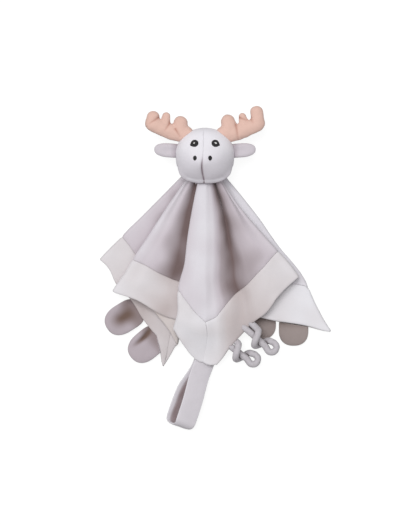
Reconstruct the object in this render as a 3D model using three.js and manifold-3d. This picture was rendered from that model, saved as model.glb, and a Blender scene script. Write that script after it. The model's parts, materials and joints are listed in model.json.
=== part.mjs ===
// Comfort blanket: a square of doubled velour, gathered at its middle into the neck of a small
// stuffed moose head, lying on its back with the head at +Y and the face up.
// Millimetres, +Z up. The middle of the head is the apex that all folds of the cloth run from.
import * as THREE from 'three';
import { mergeVertices } from 'three/addons/utils/BufferGeometryUtils.js';
import Module from 'manifold-3d';

const wasm = await Module();
wasm.setup();
const { degToRad, radToDeg, lerp, smoothstep } = THREE.MathUtils;

// Cloth
const BLANKET_SIDE = 350;
const BORDER_WIDTH = 40;
const PLY = 1.4;
const SEAM_GAP = 0.3;
const HEM_GAP = 0.5;
const GATHER_RADIUS = 12;
const NECK_RADIUS = 37;
const LAYER_PITCH = 3.8;
const DROOP_START = 205;
const DROOP_END = 262;

// Head
const HEAD_HALF_WIDTH = 36.5;
const CROWN_HEIGHT = 32.5;
const CHIN_DEPTH = 36;
const CHIN_SQUARENESS = 3.2;
const CROWN_ROUNDNESS = 2;
const HEAD_CENTRE_Z = 30;
const HEAD_BACK = 30.5;
const HEAD_FRONT = 28;
const MUZZLE_BULGE = 11;
const MUZZLE_HEIGHT = -0.22;
const MUZZLE_SPREAD = 0.5;
const MUZZLE_FALLOFF = 1.5;
const HEAD_COVER = 1.6;
const SEAM_X = -2;
const SOCKET_ANGLE = 54;
const SOCKET_TOP = 35;
const NECK_HINGE_Z = 33;

// Embroidery
const THREAD = 0.9;
const EYE_X = 13.4;
const EYE_Y = 12.8;
const EYE_LENGTH = 10.6;
const EYE_HEIGHT = 8.8;
const EYE_TILT = 24;
const GLINT_LENGTH = 4.2;
const GLINT_HEIGHT = 3.2;
const NOSTRIL_X = 9.4;
const NOSTRIL_Y = -5.2;
const NOSTRIL_WIDTH = 5;
const NOSTRIL_HEIGHT = 6.8;
const MUZZLE_SHIFT = -3;

// Antlers and ears
const ANTLER_Z = 31;
const ANTLER_FLATNESS = 0.78;
const ANTLER_ROOT = [27, 23];
const ANTLER_SEAM_ANGLE = 60;
const EAR_X = 45;
const EAR_Y = 4.2;
const EAR_Z = 30;
const EAR_LENGTH = 38;
const EAR_WIDTH = 18.5;
const EAR_THICKNESS = 8;
const EAR_HOLLOW = 2.2;
const EAR_ROOT_X = 35.5;
const EAR_DISH_LENGTH = 0.8;
const EAR_DISH_WIDTH = 0.62;

// Strap loop at the front corner
const STRAP_WIDTH = 26;
const STRAP_LENGTH = 80;
const STRAP_THICKNESS = 2.6;
const STRAP_OPENING = 15;
const STRAP_TURN = -19;
const STRAP_TILT = -17;
const STRAP_Z = 14;
const STRAP_NECK = 0.6;

// Padded tabs
const TAB_WIDTH = 37;
const TAB_LENGTH = 48;
const SHORT_TAB_LENGTH = 38;
const TAB_THICKNESS = 9;
const FLAT_TAB_THICKNESS = 5;
const TAB_BASE = 0.3;
const TAB_ROOT = 6;
const TAB_SEAM_HEIGHT = 0.65;
const TAB_SQUARENESS = 3.4;
const TAB_FULLNESS = 0.72;
const TAB_TAPER = 0.28;

// Knotted cords
const CORD_DIAMETER = 7.5;
const CORD_LIMB = 27;
const KNOT_LENGTH = 19;
const KNOT_CLEARANCE = 0.6;
const RING_RADIUS = 7;
const CORD_SPREAD = 11;
const LIMB_DROP = 8;
const RING_SWELL = 1.8;

// How far each sewn-on piece turns about its seam, in degrees
const NECK_RANGE = [-30, 45];
const ANTLER_RANGE = [-30, 30];
const EAR_RANGE = [-40, 40];
const STRAP_RANGE = [-40, 85];
const TAB_RANGE = [-60, 60];
const COVERED_TAB_RANGE = [-60, 0];
const HEAD_STEP = 15;
const HEM_STEP = 10;
const SWING_SLACK = 0.15;
const SLIVER = 0.1;

const HALF_SIDE = BLANKET_SIDE / 2;
const CLOTH_HALF = SEAM_GAP / 2 + PLY;

// Materials
const cloth = (color) => new THREE.MeshStandardMaterial({ color, roughness: 0.95, metalness: 0 });
const PANEL_GREY = cloth('#cdc5cb');
const BORDER_WHITE = cloth('#ece9ee');
const HEAD_WHITE = cloth('#e6e4ea');
const FILLING_WHITE = cloth('#f4f3f0');
const ANTLER_BEIGE = cloth('#dcb4a6');
const EAR_GREY = cloth('#c6bcc4');
const TAB_GREY = cloth('#b6abb0');
const CORD_GREY = cloth('#cfcad0');
const STRAP_GREY = cloth('#d3ced5');
const THREAD_BLACK = new THREE.MeshStandardMaterial({ color: '#17151a', roughness: 0.6, metalness: 0 });
const THREAD_WHITE = new THREE.MeshStandardMaterial({ color: '#f5f4f2', roughness: 0.6, metalness: 0 });

// Folds of the cloth in order round the neck, from the front corner over the right side.
// flat: the angle in the flat square. seen: the angle in plan where the cloth lies there.
// under, over: heights of the cloth coming in and going out, in layers above the table; where they
// differ, the cloth turns round there. reach: how much of the flat length shows.
// droop: layers that the cloth comes down by beyond the pile, toward its corner.
const FOLDS = [
  { flat: 0, seen: 0, under: 7.7, over: 7.7, reach: 0.966, droop: 5.2 },
  { flat: 16, seen: 13.6, under: 3.7, over: 3.7, reach: 0.985, droop: 1 },
  { flat: 29, seen: 25.6, under: 6.2, over: 6.2, reach: 0.985, droop: 1 },
  { flat: 42, seen: 37.2, under: 4.6, over: 3.4, reach: 0.968, droop: 0 },
  { flat: 67, seen: 17.3, under: 3.9, over: 2.8, reach: 0.995, droop: 0 },
  { flat: 90, seen: 35, under: 1.3, over: 0.2, reach: 0.998, droop: 0 },
  { flat: 121, seen: 7.5, under: 2, over: 2, reach: 0.96, droop: 0 },
  { flat: 138, seen: -8, under: 2, over: 1, reach: 0.94, droop: 0 },
  { flat: 180, seen: 5.8, under: 1, over: 0, reach: 0.747, droop: 0 },
  { flat: 227, seen: -44.6, under: 0, over: 1.1, reach: 0.925, droop: 0 },
  { flat: 257, seen: -21, under: 1.5, over: 1.5, reach: 0.97, droop: 0.5 },
  { flat: 270, seen: -11.2, under: 2.6, over: 2.6, reach: 1.005, droop: 2.5 },
  { flat: 282, seen: -1.5, under: 3.1, over: 4.2, reach: 0.96, droop: 2.9 },
  { flat: 301, seen: -18.6, under: 3.5, over: 3.5, reach: 0.99, droop: 1 },
  { flat: 317.5, seen: -33.4, under: 2.5, over: 3.7, reach: 1.02, droop: 0 },
  { flat: 325, seen: -26.3, under: 5.6, over: 5.6, reach: 1, droop: 0 },
  { flat: 337.5, seen: -14.4, under: 5.1, over: 5.1, reach: 0.96, droop: 1 },
  { flat: 343.6, seen: -6.8, under: 5.25, over: 6.4, reach: 0.94, droop: 2 },
  { flat: 348.5, seen: -12, under: 6.4, over: 7.6, reach: 0.925, droop: 2 },
];
const TURN_SHARE = 0.4;
const TURN_STEPS = [-1, -0.45, 0, 0.45, 1];
const COLUMN_SPACING = 13;
const PANEL_ROWS = 3;
const BORDER_ROWS = 2;

// Solids and meshes
function solidOf(geometry) {
  const bare = geometry.clone();
  bare.deleteAttribute('normal');
  bare.deleteAttribute('uv');
  const merged = mergeVertices(bare, 1e-4);
  return new wasm.Manifold(
    new wasm.Mesh({
      numProp: 3,
      vertProperties: merged.attributes.position.array,
      triVerts: new Uint32Array(merged.index.array),
    }),
  );
}

function geometryOf(solid) {
  const mesh = solid.getMesh();
  const geometry = new THREE.BufferGeometry();
  geometry.setAttribute('position', new THREE.BufferAttribute(new Float32Array(mesh.vertProperties), 3));
  geometry.setIndex(new THREE.BufferAttribute(new Uint32Array(mesh.triVerts), 1));
  geometry.computeVertexNormals();
  return geometry;
}

function largestBody(solid) {
  return solid.decompose().sort((a, b) => b.volume() - a.volume())[0];
}

// A solid less the room of its neighbours, without the slivers that the cut leaves.
const clearedOf = (solid, room) => largestBody(solid.subtract(room).simplify(SLIVER));

function placed(geometry, ...matrices) {
  const whole = matrices.reduce((product, matrix) => product.multiply(matrix), new THREE.Matrix4());
  return geometry.clone().applyMatrix4(whole);
}

const shift = (x, y, z) => new THREE.Matrix4().makeTranslation(x, y, z);
const turnX = (degrees) => new THREE.Matrix4().makeRotationX(degToRad(degrees));
const turnZ = (degrees) => new THREE.Matrix4().makeRotationZ(degToRad(degrees));

function boxBetween(low, high) {
  const size = high.map((value, axis) => value - low[axis]);
  const middle = high.map((value, axis) => (value + low[axis]) / 2);
  return solidOf(placed(new THREE.BoxGeometry(...size), shift(...middle)));
}

// Line in plan at an angle to +X, or the other way round, that a sewn-on piece turns about.
const hinge = (at, angle, range) => ({
  at,
  axis: new THREE.Vector3(Math.cos(degToRad(angle)), Math.sin(degToRad(angle)), 0),
  range,
});

// A space as a turning piece meets it: the space turned back through the piece's whole range.
function sweptRoom(room, { at, axis, range }, step) {
  const there = shift(...at);
  const back = there.clone().invert();
  const steps = Math.ceil((range[1] - range[0]) / step);
  let swept = room;
  for (let i = 0; i <= steps; i += 1) {
    const angle = degToRad(lerp(range[0], range[1], i / steps));
    const turned = there.clone().multiply(new THREE.Matrix4().makeRotationAxis(axis, -angle)).multiply(back);
    swept = swept.add(room.transform(turned.toArray()));
  }
  return swept.simplify(SWING_SLACK);
}

const root = new THREE.Group();
root.name = 'comfort_blanket';

function addPiece(name, geometry, material) {
  const mesh = new THREE.Mesh(geometry, material);
  mesh.name = name;
  root.add(mesh);
  return mesh;
}

// Distance from the middle of the flat square to its edge line at an angle.
function edgeDistance(flat, halfSide) {
  const fromMiddleOfEdge = ((((flat % 90) + 90) % 90) - 45);
  return halfSide / Math.cos(degToRad(fromMiddleOfEdge));
}

const turnRadius = (fold) => (Math.abs(fold.over - fold.under) * LAYER_PITCH) / 2;
const planRadius = (flatRadius, reach) => NECK_RADIUS + (flatRadius - GATHER_RADIUS) * reach;

// The cloth at one step through a fold, at a distance from the middle of the flat square.
function atFold(index, step, flatRadius) {
  const fold = FOLDS[index];
  const next = FOLDS[(index + 1) % FOLDS.length];
  const last = FOLDS[(index + FOLDS.length - 1) % FOLDS.length];
  const radius = turnRadius(fold);
  const side = Math.sign(fold.seen - next.seen);
  const flatRoom = Math.min((fold.flat - last.flat + 360) % 360, (next.flat - fold.flat + 360) % 360);
  const window = Math.min(radToDeg((radius * Math.PI) / 2 / flatRadius), flatRoom * TURN_SHARE);
  const seenRoom = Math.min(Math.abs(fold.seen - last.seen), Math.abs(next.seen - fold.seen));
  const depth = radToDeg(radius / planRadius(flatRadius, fold.reach));
  const turn = (step * Math.PI) / 2;
  const inward = Math.min(depth, seenRoom * TURN_SHARE) * (1 - Math.cos(turn));
  return {
    flat: fold.flat + window * step,
    seen: fold.seen - side * inward,
    layer: lerp(fold.under, fold.over, (1 + Math.sin(turn)) / 2),
    reach: fold.reach,
    droop: fold.droop,
  };
}

// The cloth part of the way from one fold to the next.
function betweenFolds(index, share, flatRadius) {
  const from = atFold(index, 1, flatRadius);
  const to = atFold((index + 1) % FOLDS.length, -1, flatRadius);
  const toFlat = to.flat < from.flat ? to.flat + 360 : to.flat;
  return {
    flat: lerp(from.flat, toFlat, share),
    seen: lerp(from.seen, to.seen, share),
    layer: lerp(from.layer, to.layer, smoothstep(share, 0, 1)),
    reach: lerp(from.reach, to.reach, share),
    droop: lerp(from.droop, to.droop, share),
  };
}

// Columns of the cloth's grid: a few through each turn, and some between folds where it is wide.
function clothColumns() {
  const columns = [];
  FOLDS.forEach((fold, index) => {
    const next = FOLDS[(index + 1) % FOLDS.length];
    const isCorner = fold.flat % 90 === 0;
    const steps = fold.over === fold.under ? [0] : TURN_STEPS;
    for (const step of steps) {
      columns.push({ corner: isCorner && step === 0, at: (flatRadius) => atFold(index, step, flatRadius) });
    }
    const inner = Math.round(Math.abs(next.seen - fold.seen) / COLUMN_SPACING);
    for (let i = 1; i <= inner; i += 1) {
      const share = i / (inner + 1);
      columns.push({ corner: false, at: (flatRadius) => betweenFolds(index, share, flatRadius) });
    }
  });
  return columns;
}

const COLUMNS = clothColumns();

// Where the middle of the doubled cloth lies, for one column and one row of the grid.
function clothPoint(column, row) {
  const nominal = lerp(GATHER_RADIUS, HALF_SIDE, row.nominal);
  const flat = column.at(nominal).flat;
  const hem = edgeDistance(flat, HALF_SIDE);
  const seam = edgeDistance(flat, HALF_SIDE - BORDER_WIDTH);
  const flatRadius = row.inPanel
    ? lerp(GATHER_RADIUS, seam - SEAM_GAP / 2, row.share)
    : lerp(seam + SEAM_GAP / 2, hem, row.share);
  const here = column.at(flatRadius);
  const plan = planRadius(flatRadius, here.reach);
  const angle = degToRad(here.seen);
  const fall = here.droop * smoothstep(plan, DROOP_START, DROOP_END);
  const height = CLOTH_HALF + LAYER_PITCH * (here.layer - fall);
  return new THREE.Vector3(plan * Math.sin(angle), -plan * Math.cos(angle), height);
}

function clothRows() {
  const rows = [];
  for (let i = 0; i <= PANEL_ROWS; i += 1) {
    const share = (i / PANEL_ROWS) ** 1.25;
    rows.push({ inPanel: true, share, nominal: share * 0.7 });
  }
  for (let i = 0; i <= BORDER_ROWS; i += 1) {
    rows.push({ inPanel: false, share: i / BORDER_ROWS, nominal: 0.7 + (0.3 * i) / BORDER_ROWS });
  }
  return rows;
}

const ROWS = clothRows();
const MIDDLE = ROWS.map((row) => COLUMNS.map((column) => clothPoint(column, row)));

// Directions square to the cloth, toward its outer face.
const NORMALS = MIDDLE.map((line, j) =>
  line.map((point, i) => {
    const left = line[(i + COLUMNS.length - 1) % COLUMNS.length];
    const right = line[(i + 1) % COLUMNS.length];
    const inner = MIDDLE[Math.max(j - 1, 0)][i];
    const outer = MIDDLE[Math.min(j + 1, ROWS.length - 1)][i];
    const across = new THREE.Vector3().subVectors(right, left);
    const outward = new THREE.Vector3().subVectors(outer, inner);
    return across.cross(outward).normalize().negate();
  }),
);

// A closed sheet between two distances from the middle surface, over some rows and columns.
function clothSheet(rowRange, columnRange, low, high, overhang = 0) {
  const closed = columnRange === null;
  const columns = closed ? COLUMNS.map((_, i) => i) : columnRange;
  const [firstRow, lastRow] = rowRange;
  const height = lastRow - firstRow + 1;
  const width = columns.length;
  const positions = [];
  for (const distance of [high, low]) {
    for (let j = firstRow; j <= lastRow; j += 1) {
      columns.forEach((column, place) => {
        const point = MIDDLE[j][column].clone().addScaledVector(NORMALS[j][column], distance);
        if (j === ROWS.length - 1) {
          const outward = MIDDLE[j][column].clone().sub(MIDDLE[j - 1][column]).normalize();
          point.addScaledVector(outward, overhang);
        }
        if (!closed && (place === 0 || place === width - 1)) {
          const other = columns[place === 0 ? 1 : width - 2];
          const toward = MIDDLE[j][other].clone().sub(MIDDLE[j][column]).normalize();
          point.addScaledVector(toward, SEAM_GAP / 2);
        }
        positions.push(point.x, point.y, point.z);
      });
    }
  }
  const at = (side, j, i) => side * height * width + j * width + (i % width);
  const indices = [];
  const quad = (a, b, c, d) => indices.push(a, b, c, a, c, d);
  const steps = closed ? width : width - 1;
  for (let j = 0; j < height - 1; j += 1) {
    for (let i = 0; i < steps; i += 1) {
      quad(at(0, j, i), at(0, j + 1, i), at(0, j + 1, i + 1), at(0, j, i + 1));
      quad(at(1, j, i), at(1, j, i + 1), at(1, j + 1, i + 1), at(1, j + 1, i));
    }
  }
  for (let i = 0; i < steps; i += 1) {
    quad(at(0, 0, i), at(0, 0, i + 1), at(1, 0, i + 1), at(1, 0, i));
    const last = height - 1;
    quad(at(0, last, i), at(1, last, i), at(1, last, i + 1), at(0, last, i + 1));
  }
  if (!closed) {
    for (let j = 0; j < height - 1; j += 1) {
      const end = width - 1;
      quad(at(0, j, 0), at(1, j, 0), at(1, j + 1, 0), at(0, j + 1, 0));
      quad(at(0, j, end), at(0, j + 1, end), at(1, j + 1, end), at(1, j, end));
    }
  }
  const geometry = new THREE.BufferGeometry();
  geometry.setAttribute('position', new THREE.Float32BufferAttribute(positions, 3));
  geometry.setIndex(indices);
  return geometry;
}

// Blanket
function makeBlanket() {
  const lastRow = ROWS.length - 1;
  const outer = [SEAM_GAP / 2, SEAM_GAP / 2 + PLY];
  const inner = [-SEAM_GAP / 2 - PLY, -SEAM_GAP / 2];
  addPiece('centre_panel', clothSheet([0, PANEL_ROWS], null, ...outer), PANEL_GREY);
  addPiece('lining', clothSheet([0, lastRow], null, ...inner), BORDER_WHITE);
  const corners = COLUMNS.map((column, i) => (column.corner ? i : -1)).filter((i) => i >= 0);
  const names = ['border_front_right', 'border_back_right', 'border_back_left', 'border_front_left'];
  names.forEach((name, side) => {
    const from = corners[side];
    const to = side === names.length - 1 ? corners[0] + COLUMNS.length : corners[side + 1];
    const strip = [];
    for (let i = from; i <= to; i += 1) {
      strip.push(i % COLUMNS.length);
    }
    addPiece(name, clothSheet([PANEL_ROWS + 1, lastRow], strip, ...outer), BORDER_WHITE);
  });
}

// Room that the doubled cloth takes, with a little clearance, to trim what is sewn to its hem.
const clothRoom = () =>
  solidOf(clothSheet([0, ROWS.length - 1], null, -CLOTH_HALF - HEM_GAP, CLOTH_HALF + HEM_GAP, HEM_GAP));

// Head form: round at the crown, squarer at the chin, with a muzzle that stands forward.
function headForm(inset) {
  const ball = new THREE.SphereGeometry(1, 22, 13);
  const position = ball.attributes.position;
  const point = new THREE.Vector3();
  for (let i = 0; i < position.count; i += 1) {
    point.fromBufferAttribute(position, i);
    const ring = Math.hypot(point.x, point.z);
    const across = ring > 1e-6 ? point.x / ring : 0;
    const forward = ring > 1e-6 ? point.z / ring : 0;
    const power = point.y < 0 ? CHIN_SQUARENESS : CROWN_ROUNDNESS;
    const height = point.y < 0 ? CHIN_DEPTH : CROWN_HEIGHT;
    const girth = (1 - Math.abs(point.y) ** power) ** (1 / power);
    const muzzle = MUZZLE_BULGE * Math.exp(-(((point.y - MUZZLE_HEIGHT) / MUZZLE_SPREAD) ** 2));
    const depth = forward > 0 ? HEAD_FRONT + muzzle * forward ** MUZZLE_FALLOFF : HEAD_BACK;
    position.setXYZ(
      i,
      (HEAD_HALF_WIDTH - inset) * girth * across,
      (height - inset) * point.y,
      HEAD_CENTRE_Z + (depth - inset) * girth * forward,
    );
  }
  return solidOf(ball);
}

const aboveHeight = (z) => boxBetween([-BLANKET_SIDE, -BLANKET_SIDE, z], [BLANKET_SIDE, BLANKET_SIDE, 200]);

// Room for the gathered cloth below the chin.
function neckRoom() {
  const sector = new THREE.Shape();
  const from = degToRad(-90 - SOCKET_ANGLE);
  const to = degToRad(-90 + SOCKET_ANGLE);
  sector.absarc(0, 0, NECK_RADIUS - SEAM_GAP, from, to, false);
  sector.absarc(0, 0, NECK_RADIUS * 2, to, from, true);
  const depth = SOCKET_TOP + 2;
  const block = new THREE.ExtrudeGeometry(sector, { depth, bevelEnabled: false, curveSegments: 12 });
  return solidOf(placed(block, shift(0, 0, -2)));
}

function makeHead() {
  const nod = hinge([0, SEAM_GAP - NECK_RADIUS, NECK_HINGE_Z], 0, NECK_RANGE);
  const room = sweptRoom(neckRoom(), nod, HEAD_STEP);
  const outside = clearedOf(headForm(0).intersect(aboveHeight(0)), room);
  const inside = headForm(HEAD_COVER).intersect(aboveHeight(HEAD_COVER));
  const cover = outside.subtract(inside);
  const left = boxBetween([-120, -120, -5], [SEAM_X - SEAM_GAP / 2, 120, 120]);
  const right = boxBetween([SEAM_X + SEAM_GAP / 2, -120, -5], [120, 120, 120]);
  const slack = HEAD_COVER + SEAM_GAP;
  const filling = clearedOf(headForm(slack).intersect(aboveHeight(slack)), room);
  addPiece('head_cover_left', geometryOf(largestBody(cover.intersect(left))), HEAD_WHITE);
  addPiece('head_cover_right', geometryOf(largestBody(cover.intersect(right))), HEAD_WHITE);
  addPiece('head_filling', geometryOf(filling), FILLING_WHITE);
}

// Embroidery follows the face: a layer over the head, inside an upright prism.
function prism(shape, x, y, tilt) {
  const block = new THREE.ExtrudeGeometry(shape, { depth: 60, bevelEnabled: false, curveSegments: 9 });
  return solidOf(placed(block, shift(x, y, HEAD_CENTRE_Z), turnZ(tilt)));
}

function oval(length, height) {
  const shape = new THREE.Shape();
  shape.absellipse(0, 0, length / 2, height / 2, 0, Math.PI * 2, false, 0);
  return shape;
}

function makeFace() {
  const layer = headForm(-SEAM_GAP - THREAD).subtract(headForm(-SEAM_GAP));
  for (const [side, sign] of [['left', -1], ['right', 1]]) {
    const tilt = sign < 0 ? EYE_TILT : -EYE_TILT;
    const whole = prism(oval(EYE_LENGTH, EYE_HEIGHT), sign * EYE_X, EYE_Y, tilt);
    const glint = prism(oval(GLINT_LENGTH, GLINT_HEIGHT), sign * EYE_X, EYE_Y, tilt);
    const around = oval(GLINT_LENGTH + 2 * SEAM_GAP, GLINT_HEIGHT + 2 * SEAM_GAP);
    const hole = prism(around, sign * EYE_X, EYE_Y, tilt);
    addPiece(`eye_${side}`, geometryOf(layer.intersect(whole.subtract(hole))), THREAD_BLACK);
    addPiece(`eye_glint_${side}`, geometryOf(layer.intersect(glint)), THREAD_WHITE);
    const nostril = prism(oval(NOSTRIL_WIDTH, NOSTRIL_HEIGHT), MUZZLE_SHIFT + sign * NOSTRIL_X, NOSTRIL_Y, 0);
    addPiece(`nostril_${side}`, geometryOf(layer.intersect(nostril)), THREAD_BLACK);
  }
}

// One stuffed limb: a round-ended spindle from one point to another, each with its radius.
function limb([x0, y0], [x1, y1], startRadius, endRadius) {
  const length = Math.hypot(x1 - x0, y1 - y0);
  const profile = [];
  const rings = 3;
  for (let i = 0; i <= rings; i += 1) {
    const turn = (Math.PI / 2) * (i / rings);
    profile.push(new THREE.Vector2(startRadius * Math.sin(turn), -startRadius * Math.cos(turn)));
  }
  for (let i = 0; i <= rings; i += 1) {
    const turn = (Math.PI / 2) * (i / rings);
    profile.push(new THREE.Vector2(endRadius * Math.cos(turn), length + endRadius * Math.sin(turn)));
  }
  profile[0].x = 0;
  profile[profile.length - 1].x = 0;
  const lathe = new THREE.LatheGeometry(profile, 8);
  const heading = radToDeg(Math.atan2(y1 - y0, x1 - x0)) - 90;
  const flatten = new THREE.Matrix4().makeScale(1, 1, ANTLER_FLATNESS);
  return solidOf(placed(lathe, shift(x0, y0, ANTLER_Z), flatten, turnZ(heading)));
}

// Antlers, in plan from the middle of the head: a stem from the head, a broad palm, and three
// blunt tines. Written for the left one; where the right one differs, its tip stands beside it.
const ANTLER_LIMBS = [
  { from: [-24, 24], to: [-42, 27], radii: [11.3, 10.4] },
  { from: [-42, 27], to: [-65, 36.5], radii: [10.4, 9.3] },
  { from: [-67, 38], to: [-62.5, 47], rightTo: [-64, 53.5], radii: [8.7, 6.8] },
  { from: [-50, 36], to: [-48.5, 47], rightTo: [-47, 46], radii: [7.6, 6.2] },
  { from: [-32, 31], to: [-31.4, 41], rightTo: [-28.5, 42.5], radii: [8.8, 6.6] },
];

function antlerSolid(isRight) {
  return ANTLER_LIMBS.map(({ from, to, rightTo, radii }) =>
    limb(from, isRight && rightTo ? rightTo : to, ...radii),
  ).reduce((whole, next) => whole.add(next));
}

function makeAntlers() {
  const [x, y] = ANTLER_ROOT;
  const head = headForm(-SEAM_GAP);
  const room = sweptRoom(head, hinge([-x, y, ANTLER_Z], ANTLER_SEAM_ANGLE, ANTLER_RANGE), HEAD_STEP);
  const left = clearedOf(antlerSolid(false), room);
  const right = clearedOf(antlerSolid(true), room);
  addPiece('antler_left', geometryOf(left), ANTLER_BEIGE);
  addPiece('antler_right', geometryOf(right.mirror([1, 0, 0])), ANTLER_BEIGE);
}

// Ears: flat stuffed leaves with a shallow hollow in front, sewn into the sides of the head.
function makeEars() {
  const head = headForm(-SEAM_GAP);
  for (const [side, sign] of [['left', -1], ['right', 1]]) {
    const leaf = new THREE.SphereGeometry(0.5, 13, 8);
    const scale = new THREE.Matrix4().makeScale(EAR_LENGTH, EAR_WIDTH, EAR_THICKNESS);
    const body = solidOf(placed(leaf, shift(sign * EAR_X, EAR_Y, EAR_Z), scale));
    const dishSize = [EAR_LENGTH * EAR_DISH_LENGTH, EAR_WIDTH * EAR_DISH_WIDTH, EAR_HOLLOW * 2];
    const dishAt = shift(sign * EAR_X, EAR_Y, EAR_Z + EAR_THICKNESS / 2);
    const dish = solidOf(placed(leaf, dishAt, new THREE.Matrix4().makeScale(...dishSize)));
    const bend = hinge([sign * EAR_ROOT_X, EAR_Y, EAR_Z], -sign * 90, EAR_RANGE);
    const room = sweptRoom(head, bend, HEAD_STEP);
    addPiece(`ear_${side}`, geometryOf(clearedOf(body.subtract(dish), room)), EAR_GREY);
  }
}

// Strap: a band of doubled velour, folded into a loop and sewn to the front corner.
function strapOutline(inset) {
  const half = STRAP_OPENING / 2 + STRAP_THICKNESS - inset;
  const start = inset > 0 ? STRAP_THICKNESS * 3 : 0;
  const neck = inset > 0 ? STRAP_NECK : STRAP_NECK + STRAP_THICKNESS;
  const far = STRAP_LENGTH - half - inset;
  const outline = new THREE.Shape();
  outline.moveTo(start, -neck);
  outline.bezierCurveTo(far * 0.4, -neck, far * 0.55, -half, far, -half);
  outline.absarc(far, 0, half, -Math.PI / 2, Math.PI / 2, false);
  outline.bezierCurveTo(far * 0.55, half, far * 0.4, neck, start, neck);
  outline.closePath();
  return outline;
}

function makeStrap(room) {
  const outline = strapOutline(0);
  outline.holes.push(strapOutline(STRAP_THICKNESS));
  const options = { depth: STRAP_WIDTH, bevelEnabled: false, curveSegments: 12 };
  const band = placed(new THREE.ExtrudeGeometry(outline, options), shift(0, 0, -STRAP_WIDTH / 2));
  const cornerFold = FOLDS[0];
  const tip = planRadius(edgeDistance(0, HALF_SIDE), cornerFold.reach);
  const sewnAt = shift(0, -tip + HEM_GAP, STRAP_Z);
  const body = solidOf(placed(band, sewnAt, turnZ(STRAP_TURN - 90), turnX(90 + STRAP_TILT)));
  const swing = hinge([0, HEM_GAP - tip, STRAP_Z], STRAP_TURN + 180, STRAP_RANGE);
  addPiece('strap_loop', geometryOf(clearedOf(body, sweptRoom(room, swing, HEM_STEP))), STRAP_GREY);
}

// Tabs: padded paddles, flatter at the root, where they are sewn into the hem.
const longTab = { length: TAB_LENGTH, thickness: TAB_THICKNESS, range: TAB_RANGE };
const shortTab = { length: SHORT_TAB_LENGTH, thickness: TAB_THICKNESS, range: TAB_RANGE };
const coveredTab = { length: SHORT_TAB_LENGTH, thickness: FLAT_TAB_THICKNESS, range: COVERED_TAB_RANGE };
const TABS = [
  { name: 'tab_left_outer', x: -87, y: -196, turn: -58, ...longTab },
  { name: 'tab_left_inner', x: -60, y: -228, turn: -50, ...longTab },
  { name: 'tab_right_inner', x: 70, y: -200, turn: 2, ...coveredTab },
  { name: 'tab_right_outer', x: 111, y: -208, turn: 0, ...shortTab },
];

function tabSolid({ x, y, turn, length, thickness }) {
  const paddle = new THREE.SphereGeometry(0.5, 14, 8);
  const position = paddle.attributes.position;
  for (let i = 0; i < position.count; i += 1) {
    const along = position.getY(i) * 2;
    const round = Math.max(Math.sqrt(1 - along * along), 1e-3);
    const squared = (1 - Math.abs(along) ** TAB_SQUARENESS) ** (1 / TAB_SQUARENESS);
    position.setX(i, position.getX(i) * Math.min(squared / round, 3));
    position.setZ(i, position.getZ(i) * (TAB_FULLNESS - TAB_TAPER * along));
  }
  const scale = new THREE.Matrix4().makeScale(TAB_WIDTH, length, thickness);
  const middle = shift(0, TAB_ROOT - length / 2, 0);
  return solidOf(placed(paddle, shift(x, y, TAB_BASE + thickness / 2), turnZ(turn), middle, scale));
}

function makeTabs(room) {
  for (const tab of TABS) {
    const seam = [tab.x, tab.y, TAB_BASE + tab.thickness * TAB_SEAM_HEIGHT];
    const fold = hinge(seam, tab.turn + 180, tab.range);
    addPiece(tab.name, geometryOf(clearedOf(tabSolid(tab), sweptRoom(room, fold, HEM_STEP))), TAB_GREY);
  }
}

// Knotted cords: each is one tube from the hem, once round its own other limb, through a small
// ring at the end and straight back to the hem.
class KnottedCord extends THREE.Curve {
  constructor() {
    super();
    this.wrap = CORD_DIAMETER + KNOT_CLEARANCE;
    this.ringAt = CORD_LIMB + KNOT_LENGTH + RING_RADIUS + 3;
  }

  getPoint(share, target = new THREE.Vector3()) {
    const { wrap, ringAt } = this;
    const limbEnd = 0.22;
    const knotEnd = 0.5;
    const ringEnd = 0.74;
    const limbDrop = (s) => -LIMB_DROP * (1 - smoothstep(s, 0, 0.9));
    if (share < limbEnd) {
      const s = share / limbEnd;
      const ease = smoothstep(s, 0, 1);
      return target.set(lerp(CORD_SPREAD, wrap, ease), -CORD_LIMB * s, limbDrop(s));
    }
    if (share < knotEnd) {
      const s = (share - limbEnd) / (knotEnd - limbEnd);
      const angle = Math.PI * 2 * s;
      return target.set(wrap * Math.cos(angle), -CORD_LIMB - KNOT_LENGTH * s, wrap * Math.sin(angle));
    }
    if (share < ringEnd) {
      const s = (share - knotEnd) / (ringEnd - knotEnd);
      const swell = RING_RADIUS * RING_SWELL;
      const start = new THREE.Vector3(wrap, -CORD_LIMB - KNOT_LENGTH, 0);
      const finish = new THREE.Vector3(0, -CORD_LIMB - KNOT_LENGTH - 1, 0);
      const bend = new THREE.CubicBezierCurve3(
        start,
        new THREE.Vector3(wrap + swell, -ringAt - swell, 0),
        new THREE.Vector3(-swell, -ringAt - swell, 0),
        finish,
      );
      return bend.getPoint(s, target);
    }
    const s = (share - ringEnd) / (1 - ringEnd);
    const along = lerp(-CORD_LIMB - KNOT_LENGTH - 1, 0, s);
    return target.set(-lerp(0, 2, s * s), along, limbDrop(Math.min(-along / CORD_LIMB, 1)));
  }
}

// Least distance between far-apart stretches of the tube's line, less its diameter.
function leastSelfGap(curve) {
  const count = 240;
  const points = curve.getSpacedPoints(count);
  const step = curve.getLength() / count;
  let least = Infinity;
  points.forEach((point, i) => {
    for (let j = i + 1; j < points.length; j += 1) {
      if ((j - i) * step > CORD_DIAMETER * 1.8) {
        least = Math.min(least, point.distanceTo(points[j]) - CORD_DIAMETER);
      }
    }
  });
  return least;
}

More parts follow.
